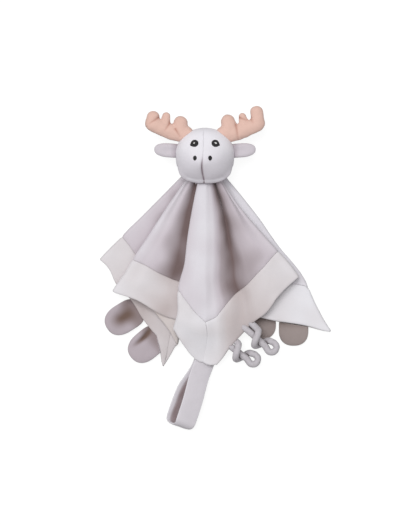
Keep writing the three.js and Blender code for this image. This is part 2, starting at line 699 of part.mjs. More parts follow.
// hem: how far out from the cord's root, and how high, the hem lies that it is sewn under.
const CORDS = [
  { name: 'knotted_cord_upper', x: 40, y: -207, turn: 41, rise: 5, hem: [8, 15], range: [0, 75] },
  { name: 'knotted_cord_lower', x: 14, y: -226, turn: 47, rise: 0, hem: [16, 16.5], range: [-45, 75] },
];

function makeCords(room) {
  const curve = new KnottedCord();
  const [length, gap] = [curve.getLength().toFixed(1), leastSelfGap(curve).toFixed(2)];
  console.log(`cord: length ${length} mm, least self gap ${gap} mm`);
  const section = new THREE.Shape();
  section.absarc(0, 0, CORD_DIAMETER / 2, 0, Math.PI * 2, false);
  const tube = new THREE.ExtrudeGeometry(section, { steps: 48, curveSegments: 3, extrudePath: curve });
  const rise = CORD_DIAMETER * 1.5 + KNOT_CLEARANCE + 0.3;
  for (const cord of CORDS) {
    const body = solidOf(placed(tube, shift(cord.x, cord.y, rise + cord.rise), turnZ(cord.turn)));
    const [out, height] = cord.hem;
    const outward = new THREE.Vector3(0, -out, 0).applyMatrix4(turnZ(cord.turn));
    const swing = hinge([cord.x + outward.x, cord.y + outward.y, height], cord.turn + 180, cord.range);
    addPiece(cord.name, geometryOf(clearedOf(body, sweptRoom(room, swing, HEM_STEP))), CORD_GREY);
  }
}

const hemRoom = clothRoom();
makeBlanket();
makeHead();
makeFace();
makeAntlers();
makeEars();
makeStrap(hemRoom);
makeTabs(hemRoom);
makeCords(hemRoom);

// The origin is under the middle of the whole part, on the table.
const bounds = new THREE.Box3().setFromObject(root);
const centre = bounds.getCenter(new THREE.Vector3());
root.position.set(-centre.x, -centre.y, -bounds.min.z);

export default root;
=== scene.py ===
"""Comfort blanket with a stuffed moose head: velour, stuffing and stitches on the frame."""
import json
import logging
import math
from dataclasses import dataclass, field
from enum import Enum
from typing import Callable, Iterable, Sequence

import bmesh
import bpy
import numpy as np
from mathutils import Matrix, Vector, noise

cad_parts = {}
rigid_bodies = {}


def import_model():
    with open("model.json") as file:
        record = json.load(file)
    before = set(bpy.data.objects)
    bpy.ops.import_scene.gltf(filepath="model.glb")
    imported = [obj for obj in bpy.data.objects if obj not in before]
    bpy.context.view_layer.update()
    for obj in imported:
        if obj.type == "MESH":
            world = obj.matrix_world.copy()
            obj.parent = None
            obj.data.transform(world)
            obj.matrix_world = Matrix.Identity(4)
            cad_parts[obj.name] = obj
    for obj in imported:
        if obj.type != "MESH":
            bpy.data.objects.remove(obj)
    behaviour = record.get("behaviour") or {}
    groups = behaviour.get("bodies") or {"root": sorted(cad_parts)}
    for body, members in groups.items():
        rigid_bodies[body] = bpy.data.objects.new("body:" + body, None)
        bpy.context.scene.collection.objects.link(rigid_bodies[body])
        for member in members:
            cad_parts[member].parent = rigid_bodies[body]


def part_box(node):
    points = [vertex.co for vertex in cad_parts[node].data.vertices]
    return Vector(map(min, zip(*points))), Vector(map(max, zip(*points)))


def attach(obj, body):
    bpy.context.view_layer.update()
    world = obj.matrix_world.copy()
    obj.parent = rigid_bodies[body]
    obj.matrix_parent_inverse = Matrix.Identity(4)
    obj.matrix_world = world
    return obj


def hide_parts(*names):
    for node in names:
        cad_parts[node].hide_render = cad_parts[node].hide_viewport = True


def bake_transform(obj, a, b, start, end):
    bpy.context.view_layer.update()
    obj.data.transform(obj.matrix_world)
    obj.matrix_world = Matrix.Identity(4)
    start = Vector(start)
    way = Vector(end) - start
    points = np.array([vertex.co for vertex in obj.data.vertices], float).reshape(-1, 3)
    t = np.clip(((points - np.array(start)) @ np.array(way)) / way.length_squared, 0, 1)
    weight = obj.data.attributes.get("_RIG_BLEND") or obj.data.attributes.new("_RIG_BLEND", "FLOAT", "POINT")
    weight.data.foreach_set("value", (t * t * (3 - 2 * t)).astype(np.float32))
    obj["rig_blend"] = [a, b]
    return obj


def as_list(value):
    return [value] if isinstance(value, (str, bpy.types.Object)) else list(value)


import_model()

log = logging.getLogger("comfort_blanket")
MM = 0.001
Colour = tuple[float, float, float]
Corners = tuple[int, ...]
Node = bpy.types.Node
Piece = bpy.types.Object
Points = np.ndarray
Socket = bpy.types.NodeSocket


class Side(Enum):
    """Left or right as seen from above, with the sign of X there."""

    LEFT = -1
    RIGHT = 1

    @property
    def word(self) -> str:
        """The side's name as the nodes spell it."""
        return self.name.lower()


class Pattern(Enum):
    """What a finish's fine pattern is laid out on."""

    OBJECT = "Object"
    CUT = "UV"


def srgb(red: int, green: int, blue: int) -> Colour:
    """Turns an 8-bit screen colour into a linear one.

    Args:
        red: Red, 0 to 255.
        green: Green, 0 to 255.
        blue: Blue, 0 to 255.

    Returns:
        The linear colour.
    """
    shares = (value / 255 for value in (red, green, blue))
    return tuple(s / 12.92 if s <= 0.04045 else ((s + 0.055) / 1.055) ** 2.4 for s in shares)


def smooth(value: float, low: float, high: float) -> float:
    """Eases from 0 at low to 1 at high.

    Args:
        value: Where to look.
        low: Where the rise starts.
        high: Where it ends.

    Returns:
        The eased share.
    """
    share = min(max((value - low) / (high - low), 0.0), 1.0)
    return share * share * (3 - 2 * share)


def mix(start: float, end: float, share: float) -> float:
    """Goes the given share of the way from start to end."""
    return start + (end - start) * share


def hump(away: float, width: float) -> float:
    """A bell: 1 in the middle, falling off over the width."""
    return math.exp(-((away / width) ** 2))


def unrest(x: float, y: float, pitch: float, seed: float) -> float:
    """Smooth noise over the plan, from about -1 to 1."""
    return noise.noise(Vector((x / pitch, y / pitch, seed)))


def signed_power(value: float, power: float) -> float:
    """A power of a value's size, with its sign kept."""
    return math.copysign(abs(value) ** power, value)


# ---------------------------------------------------------------------------------- finishes


class Tree:
    """A node tree that is written down node by node."""

    def __init__(self, tree: bpy.types.NodeTree) -> None:
        """Takes the tree that the nodes go into."""
        self.nodes, self.links = tree.nodes, tree.links

    def feed(self, node: Node, inputs: dict[str | int, object]) -> None:
        """Sets or links a node's inputs.

        Args:
            node: The node.
            inputs: For each input its value, or the socket that is linked to it.
        """
        for key, value in inputs.items():
            if isinstance(value, Socket):
                self.links.new(value, node.inputs[key])
            else:
                node.inputs[key].default_value = value

    def add(self, kind: str, inputs: dict[str | int, object] | None = None, output: str | int = 0,
            **settings: object) -> Socket:
        """Adds a node.

        Args:
            kind: Its type.
            inputs: For each input its value, or the socket that is linked to it.
            output: Which of its outputs is handed back.
            **settings: The node's own settings.

        Returns:
            The output.
        """
        node = self.nodes.new(kind)
        for name, value in settings.items():
            setattr(node, name, value)
        self.feed(node, inputs or {})
        return node.outputs[output]


def new_material(name: str) -> tuple[bpy.types.Material, Tree, Node]:
    """Starts a material.

    Args:
        name: Its name.

    Returns:
        The material, its tree and its shader.
    """
    made = bpy.data.materials.new(name)
    made.use_nodes = True
    return made, Tree(made.node_tree), made.node_tree.nodes["Principled BSDF"]


@dataclass(frozen=True)
class Finish:
    """What a piece is covered with or sewn from."""

    name: str
    colour: Colour

    def material(self) -> bpy.types.Material:
        """The finish's material, made once for each name.

        Returns:
            The material.
        """
        name = f"{self.name}_sewn"
        if name not in bpy.data.materials:
            _, tree, shader = new_material(name)
            self.paint(tree, shader)
        return bpy.data.materials[name]

    def paint(self, tree: Tree, shader: Node) -> None:
        """Lays out the finish's nodes in a tree with the given shader."""
        tree.feed(shader, {"Base Color": (*self.colour, 1.0)})


@dataclass(frozen=True)
class Velour(Finish):
    """A short, soft pile: matt, paler where it is seen along the surface, a little uneven in tone.

    Where a piece carries the attribute "hollow", 0 on a ridge and 1 in a hollow, painted light and
    shade are laid on its colour: the lighter ridge colour on ridges, the darker hollow colour in hollows.
    """

    pattern: Pattern = Pattern.OBJECT
    # ridge is a painted highlight colour and hollow a painted shade colour, blended in by the hollow
    # attribute.
    ridge: Colour | None = None
    hollow: Colour | None = None
    shade: float = 0.93
    tint: float = 1.03
    pile: float = 1500.0
    pile_depth: float = 0.00022
    ribs: float = 0.0

    def paint(self, tree: Tree, shader: Node) -> None:
        """Lays out the pile.

        Args:
            tree: The material's tree.
            shader: Its shader.
        """
        place = tree.add("ShaderNodeTexCoord", output=self.pattern.value)
        lay, fleck, height = (
            tree.add("ShaderNodeTexNoise", {"Scale": scale, "Detail": detail, "Vector": place},
                     "Fac")
            for scale, detail in ((55.0, 3.0), (420.0, 2.0), (self.pile, 2.0)))
        # Painted light and shade: the hollow attribute picks from the lit ridge colour through the plain
        # colour to the shaded hollow colour.
        painted_shade_share = tree.add("ShaderNodeAttribute", output="Fac", attribute_name="hollow")
        painted_shade_ramp = tree.add("ShaderNodeValToRGB", {"Fac": painted_shade_share}, "Color")
        stops = painted_shade_ramp.node.color_ramp.elements
        stops[0].color = (*(self.ridge or self.colour), 1.0)
        stops[1].color = (*(self.hollow or self.colour), 1.0)
        stops.new(0.5).color = (*self.colour, 1.0)
        lay_part = tree.add("ShaderNodeMath", {0: lay, 1: 0.65}, operation="MULTIPLY")
        both = tree.add("ShaderNodeMath", {0: fleck, 1: 0.35, 2: lay_part},
                        operation="MULTIPLY_ADD")
        dark, pale = ((*[part] * 3, 1.0) for part in (self.shade, self.tint))
        tone = tree.add("ShaderNodeMix", {"A": dark, "B": pale, "Factor": both}, "Result",
                        data_type="RGBA")
        tone_with_painted_shade = tree.add("ShaderNodeMix", {"Factor": 1.0, "A": painted_shade_ramp, "B": tone}, "Result",
                        data_type="RGBA", blend_type="MULTIPLY")
        if self.ribs:
            wave = tree.add("ShaderNodeTexWave", {"Scale": self.ribs, "Distortion": 0.6,
                                                  "Detail Scale": 2.0, "Vector": place}, "Fac",
                            bands_direction="X")
            height = tree.add("ShaderNodeMath", {0: wave, 1: 2.2, 2: height},
                              operation="MULTIPLY_ADD")
        bump = tree.add("ShaderNodeBump", {"Strength": 0.55, "Distance": self.pile_depth,
                                           "Height": height}, "Normal")
        tree.feed(shader, {"Base Color": tone_with_painted_shade, "Normal": bump, "Roughness": 0.92,
                           "Specular IOR Level": 0.18, "Sheen Weight": 0.3, "Sheen Roughness": 0.45,
                           "Sheen Tint": (1.0, 0.98, 0.99, 1.0)})


@dataclass(frozen=True)
class Thread(Finish):
    """Twisted sewing or embroidery thread with a soft satin gloss."""

    roughness: float = 0.5

    def paint(self, tree: Tree, shader: Node) -> None:
        """Lays out the strands.

        Args:
            tree: The material's tree.
            shader: Its shader.
        """
        place = tree.add("ShaderNodeTexCoord", output="Object")
        strand = tree.add("ShaderNodeTexNoise", {"Scale": 2600.0, "Vector": place}, "Fac")
        dark, pale = (tuple(min(c * part, 1.0) for c in self.colour) for part in (0.7, 1.15))
        tone = tree.add("ShaderNodeMix", {"A": (*dark, 1.0), "B": (*pale, 1.0), "Factor": strand},
                        "Result", data_type="RGBA")
        bump = tree.add("ShaderNodeBump", {"Strength": 0.4, "Distance": 0.0001, "Height": strand},
                        "Normal")
        tree.feed(shader, {"Base Color": tone, "Normal": bump, "Roughness": self.roughness,
                           "Specular IOR Level": 0.35})


# Each velour's ridge and hollow colours are painted light and painted shade.
PANEL = Velour("panel_velour", srgb(203, 194, 201), Pattern.CUT,
               ridge=srgb(222, 219, 225), hollow=srgb(114, 97, 96))
BORDER = Velour("border_velour", srgb(214, 208, 210), Pattern.CUT,
                ridge=srgb(230, 229, 234), hollow=srgb(180, 166, 164))
LINING = Velour("lining_velour", srgb(212, 203, 201), Pattern.CUT,
                ridge=srgb(224, 219, 220), hollow=srgb(168, 151, 146))
HEAD = Velour("head_velour", srgb(224, 220, 227),
              ridge=srgb(240, 238, 244), hollow=srgb(140, 124, 132))
ANTLER = Velour("antler_velour", srgb(221, 184, 171), shade=0.92,
                ridge=srgb(234, 204, 191), hollow=srgb(172, 118, 102))
EAR = Velour("ear_velour", srgb(203, 196, 203),
             ridge=srgb(216, 211, 216), hollow=srgb(146, 134, 142))
STRAP = Velour("strap_velour", srgb(207, 202, 208),
               ridge=srgb(220, 217, 222), hollow=srgb(140, 120, 121))
TAB = Velour("tab_fabric", srgb(177, 166, 172), ridge=srgb(196, 187, 194), hollow=srgb(112, 92, 84))
RIBBED_TAB = Velour("rib_fabric", srgb(160, 147, 144), ribs=260.0, pile_depth=0.0004,
                    ridge=srgb(172, 160, 158), hollow=srgb(112, 97, 90))
CORD = Velour("cord_velour", srgb(188, 183, 188),
              ridge=srgb(206, 203, 208), hollow=srgb(118, 106, 107))
BLACK_THREAD = Thread("black_thread", (0.012, 0.011, 0.013))
WHITE_THREAD = Thread("white_thread", (0.86, 0.86, 0.85))
SEAM_THREAD = Thread("seam_thread", srgb(226, 222, 228), roughness=0.75)


# ------------------------------------------------------------------------------- mesh helpers


@dataclass(frozen=True)
class Apex:
    """Where the middle of the head, which all folds run from, lies in the row frame, in mm."""

    x: float
    y: float

    @classmethod
    def from_frame(cls, crown: float) -> "Apex":
        """Reads the place off the head's solids.

        Args:
            crown: Height of the crown over the middle of the head, in plan.

        Returns:
            The apex.
        """
        left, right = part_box("head_cover_left"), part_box("head_cover_right")
        return cls((left[0][0] + right[1][0]) / 2 / MM, right[1][1] / MM - crown)

    def metres(self, points: Points | Sequence[Sequence[float]]) -> Points:
        """Moves points from the apex's own millimetres to the row frame's metres."""
        return (np.asarray(points, dtype=float) + (self.x, self.y, 0.0)) * MM

    def plan(self, place: Vector) -> tuple[float, float]:
        """Plan place in the apex's own millimetres of a place in the row frame's metres."""
        return place.x / MM - self.x, place.y / MM - self.y


def grid_faces(rows: int, columns: int, closed: bool, start: int = 0) -> list[Corners]:
    """Faces between the rows of a grid of corners.

    Args:
        rows: Rows of corners.
        columns: Corners in a row.
        closed: Whether each row closes on itself.
        start: Number of the first corner.

    Returns:
        The faces.
    """
    return [
        (start + j * columns + i, start + j * columns + (i + 1) % columns,
         start + (j + 1) * columns + (i + 1) % columns, start + (j + 1) * columns + i)
        for j in range(rows - 1) for i in range(columns if closed else columns - 1)
    ]


def tube_faces(rows: int, columns: int) -> list[Corners]:
    """Faces of a tube of corners with both its ends closed.

    Args:
        rows: Rings of corners.
        columns: Corners in a ring.

    Returns:
        The faces.
    """
    last = (rows - 1) * columns
    return [*grid_faces(rows, columns, True), tuple(range(columns - 1, -1, -1)),
            tuple(range(last, last + columns))]


def smooth_faces(mesh: bpy.types.Mesh) -> None:
    """Shades all the faces of a mesh smoothly."""
    mesh.polygons.foreach_set("use_smooth", [True] * len(mesh.polygons))
    mesh.update()


def link(name: str, data: bpy.types.ID) -> Piece:
    """Puts a mesh, a camera or a lamp into the scene as an object at the origin.

    Args:
        name: The object's name.
        data: What it shows.

    Returns:
        The object.
    """
    piece = bpy.data.objects.new(name, data)
    bpy.context.scene.collection.objects.link(piece)
    return piece


def make_piece(name: str, points: Points, faces: Iterable[Sequence[int]],
               material: bpy.types.Material, cut: Points | None = None,
               hollow: Sequence[float] | None = None) -> Piece:
    """Makes a smooth mesh piece whose object sits at the origin.

    Args:
        name: The piece's name.
        points: Corners, in metres.
        faces: Corner numbers of each face.
        material: The piece's finish.
        cut: For each corner, its place on the flat cloth in metres, kept as the UV map.
        hollow: For each corner, its painted shade, from 0 on a ridge to 1 in a hollow.

    Returns:
        The piece.
    """
    mesh = bpy.data.meshes.new(name)
    mesh.from_pydata([tuple(p) for p in points], [], [tuple(f) for f in faces])
    if cut is not None:
        layer = mesh.uv_layers.new(name="cut")
        corner = np.empty(len(mesh.loops), dtype=np.int64)
        mesh.loops.foreach_get("vertex_index", corner)
        layer.data.foreach_set("uv", np.asarray(cut, dtype=float)[corner].ravel())
    if hollow is not None:
        keep = mesh.attributes.new("hollow", "FLOAT", "POINT")
        keep.data.foreach_set("value", np.clip(np.asarray(hollow, dtype=float), 0, 1))
    mesh.materials.append(material)
    smooth_faces(mesh)
    return link(name, mesh)


def evaluate(piece: Piece) -> None:
    """Applies all the modifiers of a piece to its mesh.

    Args:
        piece: The piece, whose mesh is replaced by the result.
    """
    graph = bpy.context.evaluated_depsgraph_get()
    done = bpy.data.meshes.new_from_object(piece.evaluated_get(graph))
    piece.modifiers.clear()
    piece.data = done
    smooth_faces(done)


def face_outwards(piece: Piece, merge: float = 1e-6) -> None:
    """Merges doubles and turns all faces outwards.

    Args:
        piece: A closed mesh piece.
        merge: Distance under which corners are one, in metres.
    """
    shell = bmesh.new()
    shell.from_mesh(piece.data)
    bmesh.ops.remove_doubles(shell, verts=shell.verts, dist=merge)
    bmesh.ops.recalc_face_normals(shell, faces=shell.faces)
    shell.to_mesh(piece.data)
    shell.free()
    piece.data.update()


def subtract(piece: Piece, room: Piece) -> None:
    """Cuts one closed mesh out of another, and keeps the largest body and its finish.

    Args:
        piece: What is cut.
        room: The space that is taken away; it stays.
    """
    finish = piece.data.materials[0]
    cut = piece.modifiers.new("trim", "BOOLEAN")
    cut.operation = "DIFFERENCE"
    cut.solver = "MANIFOLD"
    cut.object = room
    evaluate(piece)
    shell = bmesh.new()
    shell.from_mesh(piece.data)
    left, bodies = set(shell.verts), []
    while left:
        body, edge = set(), [next(iter(left))]
        while edge:
            corner = edge.pop()
            if corner not in body:
                body.add(corner)
                edge.extend(line.other_vert(corner) for line in corner.link_edges)
        left -= body
        bodies.append(body)
    bodies.sort(key=len)
    bmesh.ops.delete(shell, geom=[v for body in bodies[:-1] for v in body], context="VERTS")
    shell.to_mesh(piece.data)
    shell.free()
    piece.data.materials.clear()
    piece.data.materials.append(finish)


def inflate(piece: Piece, voxel: float, pressure: float, cap: float, frames: int = 20) -> None:
    """Puffs a padded piece up as stuffing does, by a short cloth simulation.

    Args:
        piece: A closed mesh piece.
        voxel: Size of the remesh, in metres.
        pressure: Pressure of the stuffing.
        cap: How far a point may move, in metres.
        frames: Length of the simulation.
    """
    remesh = piece.modifiers.new("remesh", "REMESH")
    remesh.mode = "VOXEL"
    remesh.voxel_size = voxel
    evaluate(piece)
    rest = np.array([v.co[:] for v in piece.data.vertices])
    scene = bpy.context.scene
    cloth = piece.modifiers.new("stuffing", "CLOTH")
    for name, value in {"use_pressure": True, "uniform_pressure_force": pressure, "quality": 6,
                        "tension_stiffness": 30.0, "compression_stiffness": 30.0,
                        "shear_stiffness": 10.0}.items():
        setattr(cloth.settings, name, value)
    cloth.settings.effector_weights.gravity = 0.0
    cloth.point_cache.frame_start = 1
    cloth.point_cache.frame_end = frames
    for step in range(1, frames + 1):
        scene.frame_set(step)
    graph = bpy.context.evaluated_depsgraph_get()
    done = bpy.data.meshes.new_from_object(piece.evaluated_get(graph))
    moved = np.array([v.co[:] for v in done.vertices]) - rest
    piece.modifiers.clear()
    scene.frame_set(1)
    bpy.data.meshes.remove(done)
    length = np.linalg.norm(moved, axis=1, keepdims=True)
    rest = rest + moved * np.minimum(1.0, cap / np.maximum(length, 1e-9))
    piece.data.vertices.foreach_set("co", rest.ravel())
    softened = piece.modifiers.new("soften", "SMOOTH")
    softened.factor = 0.5
    softened.iterations = 3
    evaluate(piece)


def shade(piece: Piece, rule: Callable[[Vector, Vector], float]) -> None:
    """Sets each corner's painted shade: how far it lies in a hollow.

    Args:
        piece: The piece.
        rule: Gives 0 on a ridge to 1 in a hollow from a corner's place, in metres, and its normal.
    """
    held = piece.data.attributes
    kept = held.get("hollow") or held.new("hollow", "FLOAT", "POINT")
    values = [min(max(rule(v.co, v.normal), 0.0), 1.0) for v in piece.data.vertices]
    kept.data.foreach_set("value", values)


def reshape(piece: Piece, rule: Callable[[Vector, Vector], Vector]) -> None:
    """Moves every corner of a mesh piece by a rule.

    Args:
        piece: The piece.
        rule: Gives a corner's new place from its place and its normal, in metres.
    """
    moved = [rule(v.co.copy(), v.normal.copy()) for v in piece.data.vertices]
    piece.data.vertices.foreach_set("co", [value for place in moved for value in place])
    piece.data.update()


def turned(points: Points, x: float, y: float, z: float, degrees: float) -> Points:
    """Turns points about Z and moves them.

    Args:
        points: The points.
        x: Where their origin goes.
        y: Where their origin goes.
        z: Where their origin goes.
        degrees: The turn.

    Returns:
        The moved points.
    """
    c, s = math.cos(math.radians(degrees)), math.sin(math.radians(degrees))
    return points @ np.array([[c, s, 0], [-s, c, 0], [0, 0, 1]]) + (x, y, z)


def bezier(corners: Sequence[Points], s: float) -> Points:
    """A point of a cubic curve.

    Args:
        corners: Its four corners.
        s: How far along it, from 0 to 1.

    Returns:
        The point.
    """
    weights = ((1 - s) ** 3, 3 * s * (1 - s) ** 2, 3 * s * s * (1 - s), s ** 3)
    return sum(w * p for w, p in zip(weights, corners))


def evenly(points: Sequence[Sequence[float]], count: int) -> Points:
    """Spaces points evenly along a line.

    Args:
        points: The line.
        count: How many points it gets.

    Returns:
        The points.
    """
    line = np.array(points)
    walk = np.concatenate([[0], np.cumsum(np.linalg.norm(np.diff(line, axis=0), axis=1))])
    even = np.linspace(0, walk[-1], count)
    return np.stack([np.interp(even, walk, line[:, k]) for k in range(line.shape[1])], axis=1)


def directions(line: Points) -> Points:
    """Which way a line runs at each of its points, as lengths of 1."""
    ahead = np.gradient(line, axis=0)
    return ahead / np.linalg.norm(ahead, axis=1, keepdims=True)


@dataclass(frozen=True)
class Seam:
    """A sewn edge that a soft piece bends about.

    place is in metres in the row frame, and outward is a direction in plan.
    """

    parent: str
    child: str
    place: tuple[float, float, float]
    outward: tuple[float, float]

    def sew(self, piece: Piece, solid: str, slot: str, fill: float, inside: float,
            outside: float) -> Piece:
        """Lets a padded piece stand for a solid and bend smoothly across the seam.

        Args:
            piece: The piece.
            solid: The solid that it stands for.
            slot: Its material slot; not used.
            fill: How full of stuffing it is; not used.
            inside: Where the bend starts, in millimetres before the seam.
            outside: Where it ends, in millimetres after it.

        Returns:
            The piece.
        """
        middle, away = Vector(self.place), Vector((*self.outward, 0.0))
        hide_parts(solid)
        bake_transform(piece, self.parent, self.child,
                 middle - away * inside * MM, middle + away * outside * MM)
        return piece


SEAMS = {seam.child: seam for seam in (
    Seam("head", "antler_left", (-0.0391, 0.1648, 0.031), (-0.866, 0.5)),
    Seam("head", "antler_right", (0.0149, 0.1648, 0.031), (0.866, 0.5)),
    Seam("head", "ear_left", (-0.0476, 0.146, 0.03), (-1.0, 0.0)),
    Seam("head", "ear_right", (0.0234, 0.146, 0.03), (1.0, 0.0)),
    Seam("blanket", "strap", (-0.0121, -0.1222, 0.014), (-0.3256, -0.9455)),
    Seam("blanket", "tab_left_outer", (-0.0991, -0.0542, 0.00615), (-0.848, -0.5299)),
    Seam("blanket", "tab_left_inner", (-0.0721, -0.0862, 0.00615), (-0.766, -0.6428)),
    Seam("blanket", "tab_right_inner", (0.0579, -0.0582, 0.00355), (0.0349, -0.9994)),
    Seam("blanket", "tab_right_outer", (0.0989, -0.0662, 0.00615), (0.0, -1.0)),
    Seam("blanket", "cord_upper", (0.0332, -0.0713, 0.015), (0.6561, -0.7547)),
    Seam("blanket", "cord_lower", (0.0136, -0.0951, 0.0165), (0.7314, -0.682)),
)}


# ----------------------------------------------------------------------------- geometry nodes


class StitchKit:
    """Geometry Nodes trees that lay thread along guide lines."""

    def __init__(self) -> None:
        """Builds both trees."""
        self.satin = self._tree("satin_stitch", self._strands, [
            ("Thread radius", "Float", 0.2 * MM), ("Sides", "Int", 6)])
        self.running = self._tree("running_stitch", self._stitches, [
            ("Thread radius", "Float", 0.25 * MM), ("Pitch", "Float", 2.4 * MM),
            ("Stitch length", "Float", 1.7 * MM)])

    @staticmethod
    def _tree(name: str, lay: Callable[[Tree, bpy.types.NodeOutputs], Socket],
              sizes: list[tuple[str, str, float]]) -> bpy.types.NodeTree:
        """Builds a tree round the nodes that lay its thread.

        Args:
            name: The tree's name.
            lay: Adds those nodes and hands back the geometry they make.
            sizes: The name, the type and the value of each size.

        Returns:
            The tree.
        """
        made = bpy.data.node_groups.new(name, "GeometryNodeTree")
        inputs = [("Guides", "Geometry", None), *sizes, ("Thread", "Material", None)]
        for label, kind, value in inputs:
            socket = made.interface.new_socket(label, in_out="INPUT",
                                               socket_type=f"NodeSocket{kind}")
            if value is not None:
                socket.default_value = value
        made.interface.new_socket("Stitches", in_out="OUTPUT", socket_type="NodeSocketGeometry")
        tree = Tree(made)
        given = tree.nodes.new("NodeGroupInput").outputs
        real = tree.add("GeometryNodeRealizeInstances", {"Geometry": lay(tree, given)})
        paint = tree.add("GeometryNodeSetMaterial", {"Geometry": real, "Material": given["Thread"]})
        tree.feed(tree.nodes.new("NodeGroupOutput"), {"Stitches": paint})
        return made

    @staticmethod
    def _strands(tree: Tree, given: bpy.types.NodeOutputs) -> Socket:
        """Turns each guide line into one strand.

        Args:
            tree: The tree.
            given: What goes into it.

        Returns:
            The strands.
        """
        line = tree.add("GeometryNodeMeshToCurve", {"Mesh": given["Guides"]})
        ring = tree.add("GeometryNodeCurvePrimitiveCircle", {
            "Resolution": given["Sides"], "Radius": given["Thread radius"]}, "Curve")
        return tree.add("GeometryNodeCurveToMesh", {"Curve": line, "Profile Curve": ring,
                                                    "Fill Caps": True})

    @staticmethod
    def _stitches(tree: Tree, given: bpy.types.NodeOutputs) -> Socket:
        """Lays short stitches end to end along each guide line.

        Args:
            tree: The tree.
            given: What goes into it.

        Returns:
            The stitches.
        """
        line = tree.add("GeometryNodeMeshToCurve", {"Mesh": given["Guides"]})
        beat = tree.add("GeometryNodeResampleCurve", {"Curve": line, "Length": given["Pitch"]},
                        mode="LENGTH")
        bead = tree.add("GeometryNodeMeshUVSphere", {"Segments": 6, "Rings": 5, "Radius": 1.0},
                        "Mesh")
        half = tree.add("ShaderNodeMath", {0: given["Stitch length"], 1: 0.5}, operation="MULTIPLY")
        thick = given["Thread radius"]
        size = tree.add("ShaderNodeCombineXYZ", {"X": thick, "Y": thick, "Z": half})
        tangent = tree.add("GeometryNodeInputTangent")
        turn = tree.add("FunctionNodeAlignRotationToVector", {"Vector": tangent}, axis="Z")
        return tree.add("GeometryNodeInstanceOnPoints", {"Points": beat, "Instance": bead,
                                                         "Rotation": turn, "Scale": size})

    @staticmethod
    def sew(name: str, tree: bpy.types.NodeTree, guides: Sequence[Points],
            finish: Thread, sizes: dict[str, float]) -> Piece:
        """Runs a tree over guide lines and keeps the result as a plain mesh.

        Args:
            name: The piece's name.
            guides: Lines of points, in metres.
            finish: The thread.
            sizes: Values of the tree's inputs by name.

        Returns:
            The stitches as one piece.
        """
        points, edges = [], []
        for guide in guides:
            edges += [(len(points) + i, len(points) + i + 1) for i in range(len(guide) - 1)]
            points += [tuple(p) for p in guide]
        mesh = bpy.data.meshes.new(name)
        mesh.from_pydata(points, edges, [])
        piece = link(name, mesh)
        modifier = piece.modifiers.new("stitches", "NODES")
        modifier.node_group = tree
        values = {**sizes, "Thread": finish.material()}
        for item in tree.interface.items_tree:
            if item.item_type == "SOCKET" and item.in_out == "INPUT" and item.name in values:
                modifier[item.identifier] = values[item.name]
        evaluate(piece)
        return piece


# --------------------------------------------------------------------------------- the blanket


@dataclass(frozen=True)
class Fold:
    """One fold of the cloth. Angles in degrees, heights in layers, reach as a share.

    near and far are added to seen close to the neck and out at the hem. tone is the fold's
    painted shade: 0 on a lit ridge and 1 in a shaded hollow.
    """

    flat: float
    seen: float
    under: float
    over: float
    reach: float
    droop: float
    tone: float = 0.45
    near: float = 0.0
    far: float = 0.0

    @property
    def turns(self) -> bool:
        """Whether the cloth turns round here."""
        return self.under != self.over

    @property
    def corner(self) -> bool:
        """Whether this is a corner of the square."""
        return self.flat % 90 == 0


@dataclass(frozen=True)
class Here:
    """Where the cloth is at one place of the folding."""

    flat: float
    seen: float
    layer: float
    reach: float
    droop: float
    tone: float


@dataclass(frozen=True)
class Row:
    """One line of the cloth's grid, at a share of the panel's or the border's depth."""

    in_panel: bool
    share: float
    nominal: float


